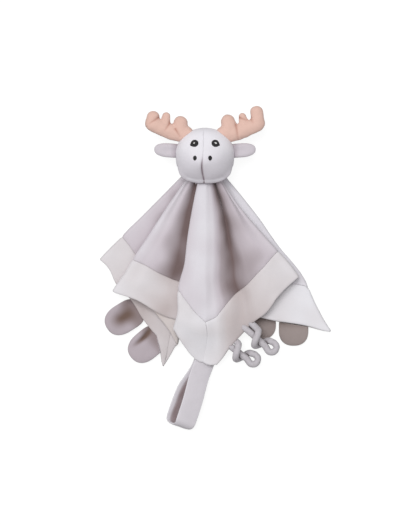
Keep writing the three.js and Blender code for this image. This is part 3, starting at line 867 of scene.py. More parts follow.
@dataclass
class FoldedCloth:
    """The doubled square, gathered at its middle and laid in folds. Millimetres."""

    apex: Apex
    side: float = 350.0
    border: float = 44.0
    ply: float = 1.4
    seam_gap: float = 0.3
    hem_gap: float = 0.5
    gather_radius: float = 12.0
    neck_radius: float = 37.0
    pitch: float = 3.8
    droop_start: float = 205.0
    droop_end: float = 262.0
    turn_share: float = 0.4
    corner_radius: float = 10.0
    front_cut: float = 240.5
    puff: float = 0.45
    wander: float = 4.16
    wander_pitch: float = 34.0
    wander_zone: tuple[float, float] = (80, 190)
    cut_angle: float = 40.0
    cut_softness: float = 3.0
    near_zone: tuple[float, float] = (45, 165)
    far_zone: tuple[float, float] = (185, 268)
    folds: tuple[Fold, ...] = (
        Fold(0, 0, 7.7, 7.7, 0.99, 5.2, 0.05),
        Fold(4, 3.4, 7.0, 7.0, 1.03, 4.4, 0.2, near=4),
        Fold(8.6, 7.3, 5.6, 5.6, 1.02, 3, 0.8, near=6.5),
        Fold(16, 13.6, 3.7, 3.7, 1.01, 1, 1.1, near=5),
        Fold(22, 19.4, 5.9, 5.9, 1.0, 1, 0.75, near=4.2),
        Fold(29, 25.6, 6.2, 6.2, 0.985, 1, 0.6, near=2.6),
        Fold(42, 37.2, 4.6, 3.4, 0.968, 0, 0.38, near=-6),
        Fold(67, 17.3, 3.9, 2.8, 0.995, 0, 0.3, near=8),
        Fold(90, 38.6, 1.3, 0.2, 1.015, 0, -0.1, near=1.6, far=-3.6),
        Fold(121, 7.5, 2, 2, 0.96, 0, 0.6),
        Fold(138, -8, 2, 1, 0.94, 0, 0.6),
        Fold(180, 5.8, 1, 0, 0.747, 0, 0.6),
        Fold(227, -44.6, 0, 1.1, 0.925, 0, 0.4),
        Fold(257, -21, 1.5, 1.5, 0.93, 0.5, 1.0),
        Fold(264.5, -14.8, 2.1, 2.1, 0.915, 1.4, 0.7),
        Fold(270, -11.2, 2.6, 2.6, 1.005, 2.5, 0.7),
        Fold(282, -8.2, 3.1, 4.2, 1.03, 2.9, 0.6),
        Fold(301, -18.6, 3.5, 3.5, 0.99, 1, 0.75),
        Fold(317.5, -33.4, 2.5, 3.7, 1.02, 0, 0.22, near=-1.6),
        Fold(325, -26.3, 5.6, 5.6, 1, 0, 0.42, near=-2),
        Fold(337.5, -14.4, 4.5, 4.5, 0.96, 1, 1.0, near=-3.2),
        Fold(343.6, -6.8, 5.25, 6.4, 0.94, 2, 1.0, near=-2),
        Fold(348.5, -10.1, 6.4, 7.6, 0.932, 2, 0.25, near=-2, far=-0.7),
        Fold(352, -7.6, 7.62, 7.62, 0.948, 2.8, 0.15, near=-2),
        Fold(355.4, -4.3, 7.65, 7.65, 0.977, 4, 0.05, near=-1.5),
    )
    plain_painted_shade: float = 0.4
    turn_steps: int = 9
    column_angle: float = 1.3
    corner_steps: tuple[float, ...] = (0.012, 0.035, 0.07)
    panel_rows: int = 34
    border_rows: int = 16
    panel_share: float = 0.7
    seam_rows: tuple[float, ...] = (0.985, 0.992, 0.997, 1.0)
    hem_rows: tuple[float, ...] = (0.0, 0.02, 0.05)
    edge_roll: float = 0.9
    edge_reach: float = 1.6
    pucker: float = 0.3
    pucker_pitch: float = 10.0
    pucker_reach: float = 7.0
    least: float = 0.25
    strip_roll: float = 0.8
    hem_rounding: dict[int, float] = field(default_factory=lambda: {0: 0.35, 1: 0.8})
    heave: float = 0.14
    heave_pitches: tuple[float, float] = (42, 17)
    heave_zone: tuple[float, float] = (60, 200)
    uneven: float = 0.16
    columns: list[tuple[Callable[[float], Here], bool]] = field(default_factory=list)
    rows: list[Row] = field(default_factory=list)
    middle: Points = field(default_factory=lambda: np.zeros(0))
    normals: Points = field(default_factory=lambda: np.zeros(0))
    cut: Points = field(default_factory=lambda: np.zeros(0))
    to_seam: Points = field(default_factory=lambda: np.zeros(0))
    hollow: Points = field(default_factory=lambda: np.zeros(0))

    def __post_init__(self) -> None:
        """Lays out the grid."""
        self.columns = self._make_columns()
        self.rows = self._make_rows()
        self._lay()

    @property
    def half(self) -> float:
        """Half the thickness of the doubled cloth."""
        return self.seam_gap / 2 + self.ply

    @property
    def front_reach(self) -> float:
        """Plan distance from the apex to the tip of the front corner."""
        return self._plan(self._hem(0), self.folds[0].reach)

    def _edge(self, flat: float, half_side: float) -> float:
        """Distance from the middle of the flat square to its edge line.

        Args:
            flat: Angle in the flat square.
            half_side: Half of the square's side.

        Returns:
            The distance.
        """
        return half_side / math.cos(math.radians(flat % 90 - 45))

    def _hem(self, flat: float) -> float:
        """Distance from the middle of the flat square to its hem, with its corners rounded.

        Args:
            flat: Angle in the flat square.

        Returns:
            The distance.
        """
        half = self.side / 2
        off = abs(flat % 90 - 45)
        out, across = math.cos(math.radians(off)), math.sin(math.radians(off))
        distance = half / out
        centre = half - self.corner_radius
        if distance * across > centre:
            near = centre * (out + across)
            distance = near + math.sqrt(near * near - 2 * centre * centre + self.corner_radius ** 2)
        from_front = min(flat % 360, -flat % 360)
        if from_front < self.cut_angle:
            cut = self.front_cut / math.cos(math.radians(from_front))
            soft = self.cut_softness
            distance = -soft * math.log(math.exp(-distance / soft) + math.exp(-cut / soft))
        return distance

    def _seen(self, fold: Fold, plan: float) -> float:
        """Angle in plan where a fold lies at a distance from the apex."""
        near, far = 1 - smooth(plan, *self.near_zone), smooth(plan, *self.far_zone)
        return fold.seen + fold.near * near + fold.far * far

    def _plan(self, flat_radius: float, reach: float) -> float:
        """Plan distance from the apex of a point of the flat cloth."""
        return self.neck_radius + (flat_radius - self.gather_radius) * reach

    def _at_fold(self, index: int, step: float, flat_radius: float) -> Here:
        """The cloth at one step through a fold.

        Args:
            index: Which fold.
            step: From -1, coming in, to 1, going out.
            flat_radius: Distance from the middle of the flat square.

        Returns:
            Where the cloth is.
        """
        fold = self.folds[index]
        after = self.folds[(index + 1) % len(self.folds)]
        before = self.folds[index - 1]
        radius = abs(fold.over - fold.under) * self.pitch / 2
        side = math.copysign(1, fold.seen - after.seen)
        flat_room = min((fold.flat - before.flat) % 360, (after.flat - fold.flat) % 360)
        window = min(math.degrees(radius * math.pi / 2 / flat_radius), flat_room * self.turn_share)
        seen_room = min(abs(fold.seen - before.seen), abs(after.seen - fold.seen))
        plan = self._plan(flat_radius, fold.reach)
        depth = math.degrees(radius / plan)
        turn = step * math.pi / 2
        inward = min(depth, seen_room * self.turn_share) * (1 - math.cos(turn))
        return Here(fold.flat + window * step, self._seen(fold, plan) - side * inward,
                    mix(fold.under, fold.over, (1 + math.sin(turn)) / 2),
                    fold.reach, fold.droop, fold.tone)

    def _between(self, index: int, share: float, flat_radius: float) -> Here:
        """The cloth part of the way from one fold to the next.

        Args:
            index: Which fold it starts from.
            share: How far along.
            flat_radius: Distance from the middle of the flat square.

        Returns:
            Where the cloth is.
        """
        start = self._at_fold(index, 1, flat_radius)
        end = self._at_fold((index + 1) % len(self.folds), -1, flat_radius)
        end_flat = end.flat + 360 if end.flat < start.flat else end.flat
        return Here(mix(start.flat, end_flat, share), mix(start.seen, end.seen, share),
                    mix(start.layer, end.layer, smooth(share, 0, 1)),
                    mix(start.reach, end.reach, share), mix(start.droop, end.droop, share),
                    mix(start.tone, end.tone, share))

    def _make_columns(self) -> list[tuple[Callable[[float], Here], bool]]:
        """Columns of the grid.

        Returns:
            For each column, where the cloth is at a flat radius, and whether it is a corner.
        """
        columns: list[tuple[Callable[[float], Here], bool]] = []
        for index, fold in enumerate(self.folds):
            after = self.folds[(index + 1) % len(self.folds)]
            steps = np.linspace(-1, 1, self.turn_steps) if fold.turns else [0.0]
            for step in steps:
                columns.append((lambda r, i=index, s=float(step): self._at_fold(i, s, r),
                                fold.corner and abs(step) < 1e-9))
            count = max(4, round(abs(after.seen - fold.seen) / self.column_angle))
            shares = {round(i / count, 4) for i in range(1, count)}
            if fold.corner and not fold.turns:
                shares |= set(self.corner_steps)
            if after.corner and not after.turns:
                shares |= {1 - s for s in self.corner_steps}
            for share in sorted(shares):
                columns.append((lambda r, i=index, s=share: self._between(i, s, r), False))
        return columns

    def _make_rows(self) -> list[Row]:
        """Rows of the grid, closer together at the seam and the hem.

        Returns:
            The rows, from the neck to the hem.
        """
        deep = [i / self.panel_rows for i in range(self.panel_rows)]
        shares = [*(s ** 1.1 * self.seam_rows[0] for s in deep), *self.seam_rows]
        rows = [Row(True, s, s * self.panel_share) for s in shares]
        even = [mix(0.09, 0.91, i / self.border_rows) for i in range(self.border_rows + 1)]
        flat = [*self.hem_rows, *even, *(1 - s for s in reversed(self.hem_rows))]
        return rows + [Row(False, s, mix(self.panel_share, 1.0, s)) for s in flat]

    def _lay(self) -> None:
        """Works out where the middle of the doubled cloth lies, and which way it faces."""
        half = self.side / 2
        shape = (len(self.rows), len(self.columns))
        self.middle = np.zeros((*shape, 3))
        self.cut = np.zeros((*shape, 2))
        self.to_seam = np.zeros(shape)
        self.hollow = np.zeros(shape)
        for j, row in enumerate(self.rows):
            nominal = mix(self.gather_radius, half, row.nominal)
            for i, (at, _) in enumerate(self.columns):
                flat = at(nominal).flat
                hem, seam = self._hem(flat), self._edge(flat, half - self.border)
                if row.in_panel:
                    flat_radius = mix(self.gather_radius, seam - self.seam_gap / 2, row.share)
                else:
                    flat_radius = mix(seam + self.seam_gap / 2, hem, row.share)
                here = at(flat_radius)
                plan = self._plan(flat_radius, here.reach)
                angle, cut_angle = math.radians(here.seen), math.radians(here.flat)
                fall = here.droop * smooth(plan, self.droop_start, self.droop_end)
                x, y = self._wandered(plan * math.sin(angle), -plan * math.cos(angle), plan)
                z = self.half + self.pitch * (here.layer - fall)
                self.middle[j, i] = (x, y, z * self._heave(x, y, plan))
                # Painted shade: hollow is dark in the valleys between folds and light on the ridges, weaker
                # toward the hem and on the border, plus random unevenness in tone.
                strength = mix(1.0, 0.8, smooth(plan, 90, 190)) * (1.0 if row.in_panel else 0.8)
                uneven = self.uneven * noise.noise(Vector((x / 26, y / 26, z / 9 + 4.0)))
                self.hollow[j, i] = mix(self.plain_painted_shade, here.tone, strength) + uneven
                self.cut[j, i] = (flat_radius * math.sin(cut_angle) * MM,
                                  -flat_radius * math.cos(cut_angle) * MM)
                off = math.radians(flat % 90 - 45)
                self.to_seam[j, i] = abs(flat_radius - seam) * math.cos(off)
        across = np.roll(self.middle, -1, axis=1) - np.roll(self.middle, 1, axis=1)
        outward = np.gradient(self.middle, axis=0)
        normals = -np.cross(across, outward)
        self.normals = normals / np.linalg.norm(normals, axis=2, keepdims=True)

    def _wandered(self, x: float, y: float, plan: float) -> tuple[float, float]:
        """Lets all layers wander a little together, so that no fold or hem runs dead straight.

        Args:
            x: Plan place.
            y: Plan place.
            plan: Distance from the apex.

        Returns:
            The new plan place.
        """
        amount = self.wander * smooth(plan, *self.wander_zone)
        return (x + amount * unrest(x, y, self.wander_pitch, 20.5),
                y + amount * unrest(x, y, self.wander_pitch, 29.5))

    def _heave(self, x: float, y: float, plan: float) -> float:
        """Soft rise and fall of the whole pile, so that no layer meets another.

        Args:
            x: Plan place.
            y: Plan place.
            plan: Distance from the apex.

        Returns:
            A factor on the height.
        """
        broad, small = (unrest(x, y, pitch, seed)
                        for pitch, seed in zip(self.heave_pitches, (3.1, 8.4)))
        return 1 + self.heave * smooth(plan, *self.heave_zone) * (broad + 0.35 * small)

    def _rolled(self, j: int, i: int) -> float:
        """How far the outer face dips at a grid point beside a seam, with the seam's puckers.

        Args:
            j: Row.
            i: Column.

        Returns:
            The dip.
        """
        away = self.to_seam[j, i]
        along = (self.cut[j, i, 0] + self.cut[j, i, 1]) / MM
        ripple = self.pucker * math.sin(along / self.pucker_pitch * 2 * math.pi)
        dip = self.edge_roll * hump(away, self.edge_reach)
        return dip + ripple * math.exp(-away / self.pucker_reach)

    def sheet(self, name: str, finish: Velour, first: int, last: int, strip: list[int] | None,
              low: float, high: float, outer: bool) -> Piece:
        """Makes one closed sheet of cloth over some rows and columns.

        Args:
            name: The piece's name.
            finish: Its velour.
            first: First row.
            last: Last row.
            strip: Columns, or None for all of them, closed on themselves.
            low: Distance of its lower face from the middle.
            high: Distance of its upper face.
            outer: Whether the upper face is the one that shows a seam.

        Returns:
            The piece.
        """
        closed = strip is None
        columns = list(range(len(self.columns))) if closed else strip
        height, width = last - first + 1, len(columns)
        end = len(self.rows) - 1
        faces_high, faces_low, cut, hollow = [], [], [], []
        for j in range(first, last + 1):
            for place, i in enumerate(columns):
                point, normal = self.middle[j, i].copy(), self.normals[j, i]
                if not closed and place in (0, width - 1):
                    other = columns[1 if place == 0 else width - 2]
                    toward = self.middle[j, other] - self.middle[j, i]
                    point = point + toward / np.linalg.norm(toward) * self.seam_gap / 2
                top, bottom, rounding = high, low, self.hem_rounding.get(end - j)
                if outer:
                    top -= self._rolled(j, i)
                    if not closed:
                        top += self.puff * math.sin(math.pi * self.rows[j].share)
                    if not closed and place in (0, width - 1):
                        top -= self.edge_roll * self.strip_roll
                    top = mix(low, high, rounding) if rounding else max(top, low + self.least)
                elif rounding:
                    bottom = mix(high, low, rounding)
                faces_high.append(point + normal * top)
                faces_low.append(point + normal * bottom)
                cut.append(self.cut[j, i])
                hollow.append(self.hollow[j, i])
        count = height * width
        faces = [f[::-1] for f in grid_faces(height, width, closed)]
        faces += grid_faces(height, width, closed, count)
        steps = width if closed else width - 1
        for i in range(steps):
            n = (i + 1) % width
            faces.append((i, n, count + n, count + i))
            a, b = (height - 1) * width + i, (height - 1) * width + n
            faces.append((a, count + a, count + b, b))
        if not closed:
            for j in range(height - 1):
                a, b = j * width, (j + 1) * width
                faces.append((a, count + a, count + b, b))
                a, b = a + width - 1, b + width - 1
                faces.append((a, b, count + b, count + a))
        points = self.apex.metres(faces_high + faces_low)
        piece = make_piece(name, points, faces, finish.material(), np.array(cut + cut),
                           hollow + hollow)
        face_outwards(piece, 1e-8)
        return piece

    def room(self) -> Piece:
        """Makes the space that the doubled cloth takes, to trim what is sewn to its hem.

        Returns:
            A closed mesh that isn't part of the toy.
        """
        reach = self.half + self.hem_gap
        last = len(self.rows) - 1
        outward = self.middle[last] - self.middle[last - 1]
        outward /= np.linalg.norm(outward, axis=1, keepdims=True)
        kept = self.middle[last].copy()
        self.middle[last] = kept + outward * self.hem_gap
        room = self.sheet("hem_room", LINING, 0, last, None, -reach, reach, False)
        self.middle[last] = kept
        return room

    def build(self) -> list[Piece]:
        """Makes the panel, the lining and the four border strips.

        Returns:
            The pieces.
        """
        last = len(self.rows) - 1
        seam = sum(row.in_panel for row in self.rows)
        gap = self.seam_gap / 6
        panel = self.sheet("panel_cloth", PANEL, 0, seam - 1, None, gap, self.half, True)
        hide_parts("centre_panel")
        lining = self.sheet("lining_cloth", LINING, 0, last, None, -self.half, -gap, False)
        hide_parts("lining")
        pieces = [panel, lining]
        corners = [i for i, (_, corner) in enumerate(self.columns) if corner]
        names = ["front_right", "back_right", "back_left", "front_left"]
        for order, name in enumerate(names):
            start = corners[order]
            stop = corners[(order + 1) % 4] + (len(self.columns) if order == 3 else 0)
            strip = [i % len(self.columns) for i in range(start, stop + 1)]
            border = self.sheet(f"border_cloth_{name}", BORDER, seam, last, strip, gap, self.half,
                                True)
            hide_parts(f"border_{name}")
            pieces.append(border)
        for piece in pieces:
            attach(piece, "blanket")
        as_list(pieces[2:])
        return pieces


# -------------------------------------------------------------------------------------- head


@dataclass
class Head:
    """The stuffed head: round crown, squarer chin, forward muzzle. Millimetres."""

    apex: Apex
    half_width: float = 36.5
    crown: float = 32.5
    chin: float = 35.0
    squareness: float = 2.75
    centre_z: float = 30.0
    back: float = 30.5
    front: float = 28.0
    muzzle: float = 11.0
    muzzle_height: float = -0.22
    muzzle_spread: float = 0.5
    seam_x: float = -2.0
    seam_gap: float = 0.3
    seam_bend: float = 1.9
    piping: float = 0.8
    neck_radius: float = 36.2
    socket_top: float = 33.8
    nod_y: float = -36.7
    nod_back: float = 30.0
    socket_angle: float = 56.0
    lip: float = 2.4
    lip_height: float = 3.2
    groove: tuple[float, float] = (0.25, 1.9)
    groove_widths: tuple[float, float] = (1.5, 6.5)
    lumps: float = 0.5
    lump_pitch: float = 16.0
    floor_gap: float = 0.25
    stitch_lift: float = 0.75
    stitch: tuple[float, float, float] = (0.3, 2.0, 1.5)
    chin_end: tuple[float, float] = (18, 25)
    rows: int = 70
    columns: int = 168

    def girth(self, height: float) -> float:
        """Share of the full width at a share of the height, -1 at the chin to 1 at the crown."""
        power = self.squareness if height < 0 else 2.0
        return max(1 - abs(height) ** power, 0.0) ** (1 / power)

    def depth(self, height: float, forward: float) -> float:
        """Distance from the middle plane to the skin.

        Args:
            height: Share of the height.
            forward: Cosine of the angle from straight ahead.

        Returns:
            The distance before the girth is applied.
        """
        if forward <= 0:
            return self.back
        bulge = hump(height - self.muzzle_height, self.muzzle_spread)
        return self.front + self.muzzle * bulge * forward ** 1.5

    def front_z(self, x: float, y: float) -> float:
        """Height of the face over a plan place.

        Args:
            x: Plan place from the middle of the head.
            y: Plan place.

        Returns:
            The height above the table.
        """
        height = y / (self.chin if y < 0 else self.crown)
        girth = self.girth(height)
        across = min(abs(x) / max(self.half_width * girth, 1e-6), 1.0)
        forward = math.sqrt(1 - across * across)
        return self.centre_z + self.depth(height, forward) * girth * forward

    def skin(self) -> Piece:
        """Makes the whole skin as one closed mesh, with its seam and its chin.

        Returns:
            The mesh, before it is parted at the seam.
        """
        levels = [-((i / self.rows) ** 1.6) * math.pi / 2 for i in range(self.rows, 0, -1)]
        levels += [(i / self.rows) * math.pi / 2 for i in range(self.rows + 1)]
        points = []
        for level in levels[1:-1]:
            power = self.squareness if level < 0 else 2.0
            height = signed_power(math.sin(level), 2 / power)
            girth = math.cos(level) ** (2 / power)
            for i in range(self.columns):
                angle = 2 * math.pi * i / self.columns
                points.append(self._shaped(height, girth, math.sin(angle), math.cos(angle)))
        count = len(levels) - 2
        faces = grid_faces(count, self.columns, True)
        low, high = len(points), len(points) + 1
        points += [self._shaped(end, 0.0, 0.0, 1.0) for end in (-1.0, 1.0)]
        top = (count - 1) * self.columns
        for i in range(self.columns):
            n = (i + 1) % self.columns
            faces.append((low, n, i))
            faces.append((high, top + i, top + n))
        piece = make_piece("head_skin", self.apex.metres(points), faces, HEAD.material())
        face_outwards(piece)
        return piece

    def _shaped(self, height: float, girth: float, across: float, forward: float) -> list[float]:
        """One point of the skin.

        Args:
            height: Share of the height.
            girth: Share of the width.
            across: Sine of the angle from straight ahead.
            forward: Cosine of that angle.

        Returns:
            The point.
        """
        x = self.half_width * girth * across
        y = (self.chin if height < 0 else self.crown) * height
        z = self.centre_z + self.depth(height, forward) * girth * forward
        if forward > 0:
            lump = self.lumps * noise.noise(Vector((x, y, z)) / self.lump_pitch)
            z += (lump - self._dip(x, y, forward)) * forward
        return [*self._socketed(x, y, z), max(z, self.floor_gap)]

    def _dip(self, x: float, y: float, forward: float) -> float:
        """How far the seam draws the skin in at a place, less the piping along the chin.

        Args:
            x: Plan place from the middle of the head.
            y: Plan place.
            forward: Cosine of the angle from straight ahead.

        Returns:
            The depth.
        """
        narrow, broad = (hump(x - self.seam_x, width) for width in self.groove_widths)
        deep = mix(*self.groove, smooth(-y, -6, 24)) * smooth(forward, 0.0, 0.35)
        piping = self.piping * hump(y - self.chin_line(x), 0.9)
        piping *= 1 - smooth(abs(x), *self.chin_end)
        return deep * (narrow + 1.3 * broad * smooth(-y, 12, 32)) - piping

    def _socketed(self, x: float, y: float, z: float) -> tuple[float, float]:
        """Draws the skin in where the head sits in the cloth, with a rolled lip above.

        Args:
            x: Plan place from the middle of the head.
            y: Plan place.
            z: Height.

        Returns:
            The new plan place.
        """
        plan = math.hypot(x, y)
        bearing = abs(math.degrees(math.atan2(x, -y)))
        side = 1 - smooth(bearing, self.socket_angle - 8, self.socket_angle + 10)
        if side <= 0 or plan <= 1e-6:
            return x, y
        above = smooth(z, self.socket_top - 0.6, self.socket_top + 1.2)
        rolled = self.lip * hump(z - self.socket_top - self.lip_height, 4.0) * smooth(plan, 22, 35)
        wanted = mix(min(plan, self.neck_radius), plan + rolled, above)
        factor = mix(1.0, wanted / plan, side)
        x, y = x * factor, y * factor
        return x, max(y, self._back_limit(x, z)) if z < self.socket_top else y

    def chin_line(self, x: float) -> float:
        """Plan place of the stitched edge below the mouth."""
        return -34.0 + 0.0065 * (x - 1) ** 2

    def _back_limit(self, x: float, z: float) -> float:
        """Nearest plan place to the cloth that still clears it when the head nods back.

        Args:
            x: Plan place across.
            z: Height.

        Returns:
            The plan place along Y.
        """
        turn = math.radians(self.nod_back)
        ring = math.sqrt(max(self.neck_radius ** 2 - x * x, 0.0))
        below = max(self.socket_top - 0.8 - z, 0.0)
        return self.nod_y + (-self.nod_y - ring + math.sin(turn) * below) / math.cos(turn)

    def _bent(self, place: Vector, normal: Vector) -> Vector:
        """Bends the straight seam down the face.

        Args:
            place: A corner of the skin, in metres.
            normal: Its normal; not used.

        Returns:
            The corner's new place.
        """
        x, y = self.apex.plan(place)
        bend = -self.seam_bend * hump(y + 16, 13) + 1.1 * smooth(-y, 24, 34)
        bend *= hump(x - self.seam_x, 12) * smooth(place.z / MM, 20, 40)
        return place + Vector((bend * MM, 0, 0))

    def _tone(self, place: Vector, normal: Vector) -> float:
        """Painted light and shade on the skin: darker in the seam, on the lower cheeks and by the ear
        roots, lighter on the brow where light from above falls, and along the chin's piping.

        Args:
            place: A corner of the skin, in metres.
            normal: Its normal; not used.

        Returns:
            From 0 on a ridge to 1 in a hollow.
        """
        x, y = self.apex.plan(place)
        # Painted shade in the seam, on the lower cheeks and by the ear roots; painted light on the brow and
        # the chin's piping.
        seam = hump(x - self.seam_x, 0.9) * mix(0.12, 0.75, smooth(-y, -2, 22))
        cheek = 0.1 * smooth(-y, 6, 30) - 0.35 * smooth(y, -14, 12)
        edge = 0.45 * hump(y - self.chin_line(x), 1.0) * (1 - smooth(abs(x), *self.chin_end))
        root = 0.3 * smooth(abs(x), 27, 35) * smooth(y, 2, 16)
        return 0.45 + seam + cheek + root - (edge if place.z / MM > self.socket_top else 0.0)

    def build(self, kit: StitchKit) -> list[Piece]:
        """Makes both halves of the head and the stitches along its chin.

        Args:
            kit: The stitch trees.

        Returns:
            The pieces.
        """
        whole = self.skin()
        pieces = []
        for side in Side:
            half = make_piece(f"head_plush_{side.word}", np.zeros((0, 3)), [], HEAD.material())
            shell = bmesh.new()
            shell.from_mesh(whole.data)
            middle = self.apex.metres((self.seam_x + side.value * self.seam_gap / 10, 0, 0))
            cut = bmesh.ops.bisect_plane(
                shell, geom=shell.verts[:] + shell.edges[:] + shell.faces[:], plane_co=middle,
                plane_no=(-side.value, 0, 0), clear_outer=True, dist=1e-7)
            rim = [g for g in cut["geom_cut"] if isinstance(g, bmesh.types.BMEdge)]
            bmesh.ops.holes_fill(shell, edges=rim, sides=0)
            bmesh.ops.recalc_face_normals(shell, faces=shell.faces)
            for face in shell.faces:
                face.smooth = len(face.verts) <= 4
            shell.to_mesh(half.data)
            shell.free()
            shade(half, self._tone)
            reshape(half, self._bent)
            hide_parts(f"head_cover_{side.word}",
                        *(["head_filling"] if side is Side.RIGHT else []))
            pieces.append(half)
        bpy.data.objects.remove(whole)
        for piece in pieces:
            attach(piece, "head")
        line = [(x, self.chin_line(x), self.front_z(x, self.chin_line(x)) + self.stitch_lift)
                for x in np.linspace(-20, 22, 60)]
        sizes = {name: size * MM for name, size in
                 zip(("Thread radius", "Pitch", "Stitch length"), self.stitch)}
        stitches = kit.sew("chin_stitches", kit.running, [self.apex.metres(line)],
                           SEAM_THREAD, sizes)
        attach(stitches, "head")
        pieces.append(stitches)
        return pieces


# --------------------------------------------------------------------------- gathered neck


@dataclass
class NeckGather:
    """The gathered middle of the cloth: pleats that run from its folds into the head. Millimetres.

    tops gives how high the pleats reach at the cloth's edge, from places across.
    """

    apex: Apex
    head: Head
    spread: float = 25.0
    pitch: float = 5.0
    half_width: float = 3.1
    edge_radius: float = 37.0
    inside_cloth: float = 6.0
    bend_start: float = 0.5
    reach: float = 33.0
    past: float = 2.0
    rise: float = 20.0
    low: float = 1.5
    sink: float = 2.5
    depth_in_head: float = 10.0
    tops: tuple[tuple[float, float], ...] = (
        (-25, 6), (-21, 12.5), (-17, 21), (-11, 18), (-8, 30.6), (3, 30.6), (9, 21), (12, 15),
        (15, 22), (17.5, 23), (19.5, 15), (25, 6))
    rows: int = 28
    corners: int = 20

    def _edge(self, x: float) -> float:
        """Plan place where the cloth ends at a place across."""
        return -math.sqrt(self.edge_radius ** 2 - x * x)

    def _underside(self, x: float, y: float) -> float:
        """Height of the back of the head over a plan place.

        Args:
            x: Plan place from the middle of the head.
            y: Plan place.

        Returns:
            The height.
        """
        girth = self.head.girth(min(max(y / self.head.chin, -0.97), 0.0))
        across = min(abs(x) / (self.head.half_width * girth), 1.0)
        return self.head.centre_z - self.head.back * girth * math.sqrt(1 - across * across)

    def _pleat(self, x: float) -> tuple[Points, list[float]]:
        """Corners of one pleat.

        Args:
            x: Its place across.

        Returns:
            The corners, ring by ring, and the painted shade of each, darker toward the pleat's sides.
        """
        top = float(np.interp(x, *zip(*self.tops)))
        end = self.reach + self.past
        low_end = max(self._underside(x, self._edge(x) + end) + self.sink, self.low)
        high_end = max(top, low_end + self.depth_in_head)
        points, hollows = [], []
        for along in np.linspace(-self.inside_cloth, end, self.rows):
            into = smooth(along, 0, self.rise)
            within = mix(0.8, 1.0, smooth(along, -self.inside_cloth, 0))
            low, high = mix(self.low, low_end, into), mix(top, high_end, into) * within
            wide = self.half_width * (1 + 0.12 * math.sin(along / 3 + x))
            for i in range(self.corners):
                turn = 2 * math.pi * i / self.corners
                across, up = (signed_power(part, 2 / 3)
                              for part in (math.cos(turn), math.sin(turn)))
                height = mix(low, high, (1 + up) / 2)
                points.append((x + wide * across, self._edge(x) + along, height))
                # Painted shade, darker in the clefts between pleats.
                hollows.append(0.22 + 0.55 * abs(across) ** 3)
        return self.apex.metres(points), hollows

    def build(self) -> list[Piece]:
        """Makes the pleats, each turning with the head at one end.

        Returns:
            The pieces.
        """
        pieces = []
        level = self.head.centre_z / 2
        for order, x in enumerate(np.arange(-self.spread, self.spread + 0.1, self.pitch).tolist()):
            points, hollows = self._pleat(x)
            pleat = make_piece(f"neck_pleat_{order + 1:02d}", points,
                               tube_faces(self.rows, self.corners), PANEL.material(),
                               hollow=hollows)
            face_outwards(pleat)
            start, end = (tuple(self.apex.metres((x, self._edge(x) + far, level)).tolist())
                          for far in (self.bend_start, self.reach))
            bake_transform(pleat, "blanket", "head", start, end)
            pieces.append(pleat)
        return pieces


# -------------------------------------------------------------------------------- embroidery


@dataclass(frozen=True)
class Patch:
    """An oval of satin stitches. Millimetres and degrees; taper points the outer end."""

    x: float
    y: float
    length: float
    height: float
    tilt: float
    taper: float
    lift: float


@dataclass
class Face:
    """Embroidered eyes and nostrils on the head."""

    apex: Apex
    head: Head
    thread_radius: float = 0.2
    spacing: float = 0.3
    eye_x: float = 13.4
    eye_y: float = 12.1
    eye_length: float = 10.6
    eye_height: float = 8.8
    eye_tilt: float = 24.0
    glint_sizes: dict[Side, tuple[float, float]] = field(
        default_factory=lambda: {Side.LEFT: (2.2, 1.4), Side.RIGHT: (3.0, 1.9)})
    nostril_x: float = 9.4
    nostril_y: float = -6.3
    nostril_width: float = 4.6
    nostril_height: float = 6.0
    muzzle_shift: float = -3.0
    guide_points: int = 9
    arch: float = 0.45
    sunk: float = 0.15
    stagger: float = 0.08

    def _guides(self, patch: Patch, sign: int) -> list[Points]:
        """Guide lines of a patch, each across it and arched over it.

        Args:
            patch: The patch.
            sign: The side's sign, toward which the taper points.

        Returns:
            Lines of points in the row frame's metres.
        """
        tilt = math.radians(patch.tilt)
        count = max(int(patch.length / self.spacing), 6)
        guides = []
        for i in range(count + 1):
            u = -1 + 2 * i / count
            outer = u * sign > 0
            power = mix(2.0, 1.15, patch.taper) if outer else 2.2
            reach = max(1 - abs(u) ** power, 0.0) ** (mix(0.5, 0.95, patch.taper) if outer else 0.5)
            reach = max(reach, 0.08) * patch.height / 2
            line = []
            for v in np.linspace(-1, 1, self.guide_points).tolist():
                a, b = u * patch.length / 2, v * reach
                x = patch.x + a * math.cos(tilt) - b * math.sin(tilt)
                y = patch.y + a * math.sin(tilt) + b * math.cos(tilt)
                z = self.head.front_z(x, y) + patch.lift + self.arch * (1 - v ** 4) - self.sunk
                line.append((x, y, z + i % 2 * self.stagger))
            guides.append(self.apex.metres(line))
        return guides

    def build(self, kit: StitchKit) -> list[Piece]:
        """Sews the eyes, their glints and the nostrils.

        Args:
            kit: The stitch trees.

        Returns:
            The pieces.
        """
        pieces = []
        radius = {"Thread radius": self.thread_radius * MM, "Sides": 6}
        for side in Side:
            s = side.value
            tilt = -s * self.eye_tilt
            eye = Patch(s * self.eye_x, self.eye_y, self.eye_length, self.eye_height,
                        tilt, 0.55, 0.3)
            glint = Patch(s * self.eye_x, self.eye_y + 0.6, *self.glint_sizes[side],
                          tilt, 0.1, 0.75)
            nostril = Patch(self.muzzle_shift + s * self.nostril_x, self.nostril_y,
                            self.nostril_height, self.nostril_width, 90.0, 0.35, 0.3)
            for word, patch, thread, slot in (
                ("eye", eye, BLACK_THREAD, "black_thread"),
                ("eye_glint", glint, WHITE_THREAD, "white_thread"),
                ("nostril", nostril, BLACK_THREAD, "black_thread"),
            ):
                name = f"{word}_stitches_{side.word}"
                toward = -1 if word == "nostril" else s
                piece = kit.sew(name, kit.satin, self._guides(patch, toward), thread, radius)
                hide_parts(f"{word}_{side.word}")
                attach(piece, "head")
                pieces.append(piece)
        return pieces


# --------------------------------------------------------------------------- antlers and ears


@dataclass(frozen=True)
class Limb:
    """One stuffed limb of an antler, with its own end on the right side where that differs."""

    start: tuple[float, float]
    end: tuple[float, float]
    right_end: tuple[float, float]
    radii: tuple[float, float]


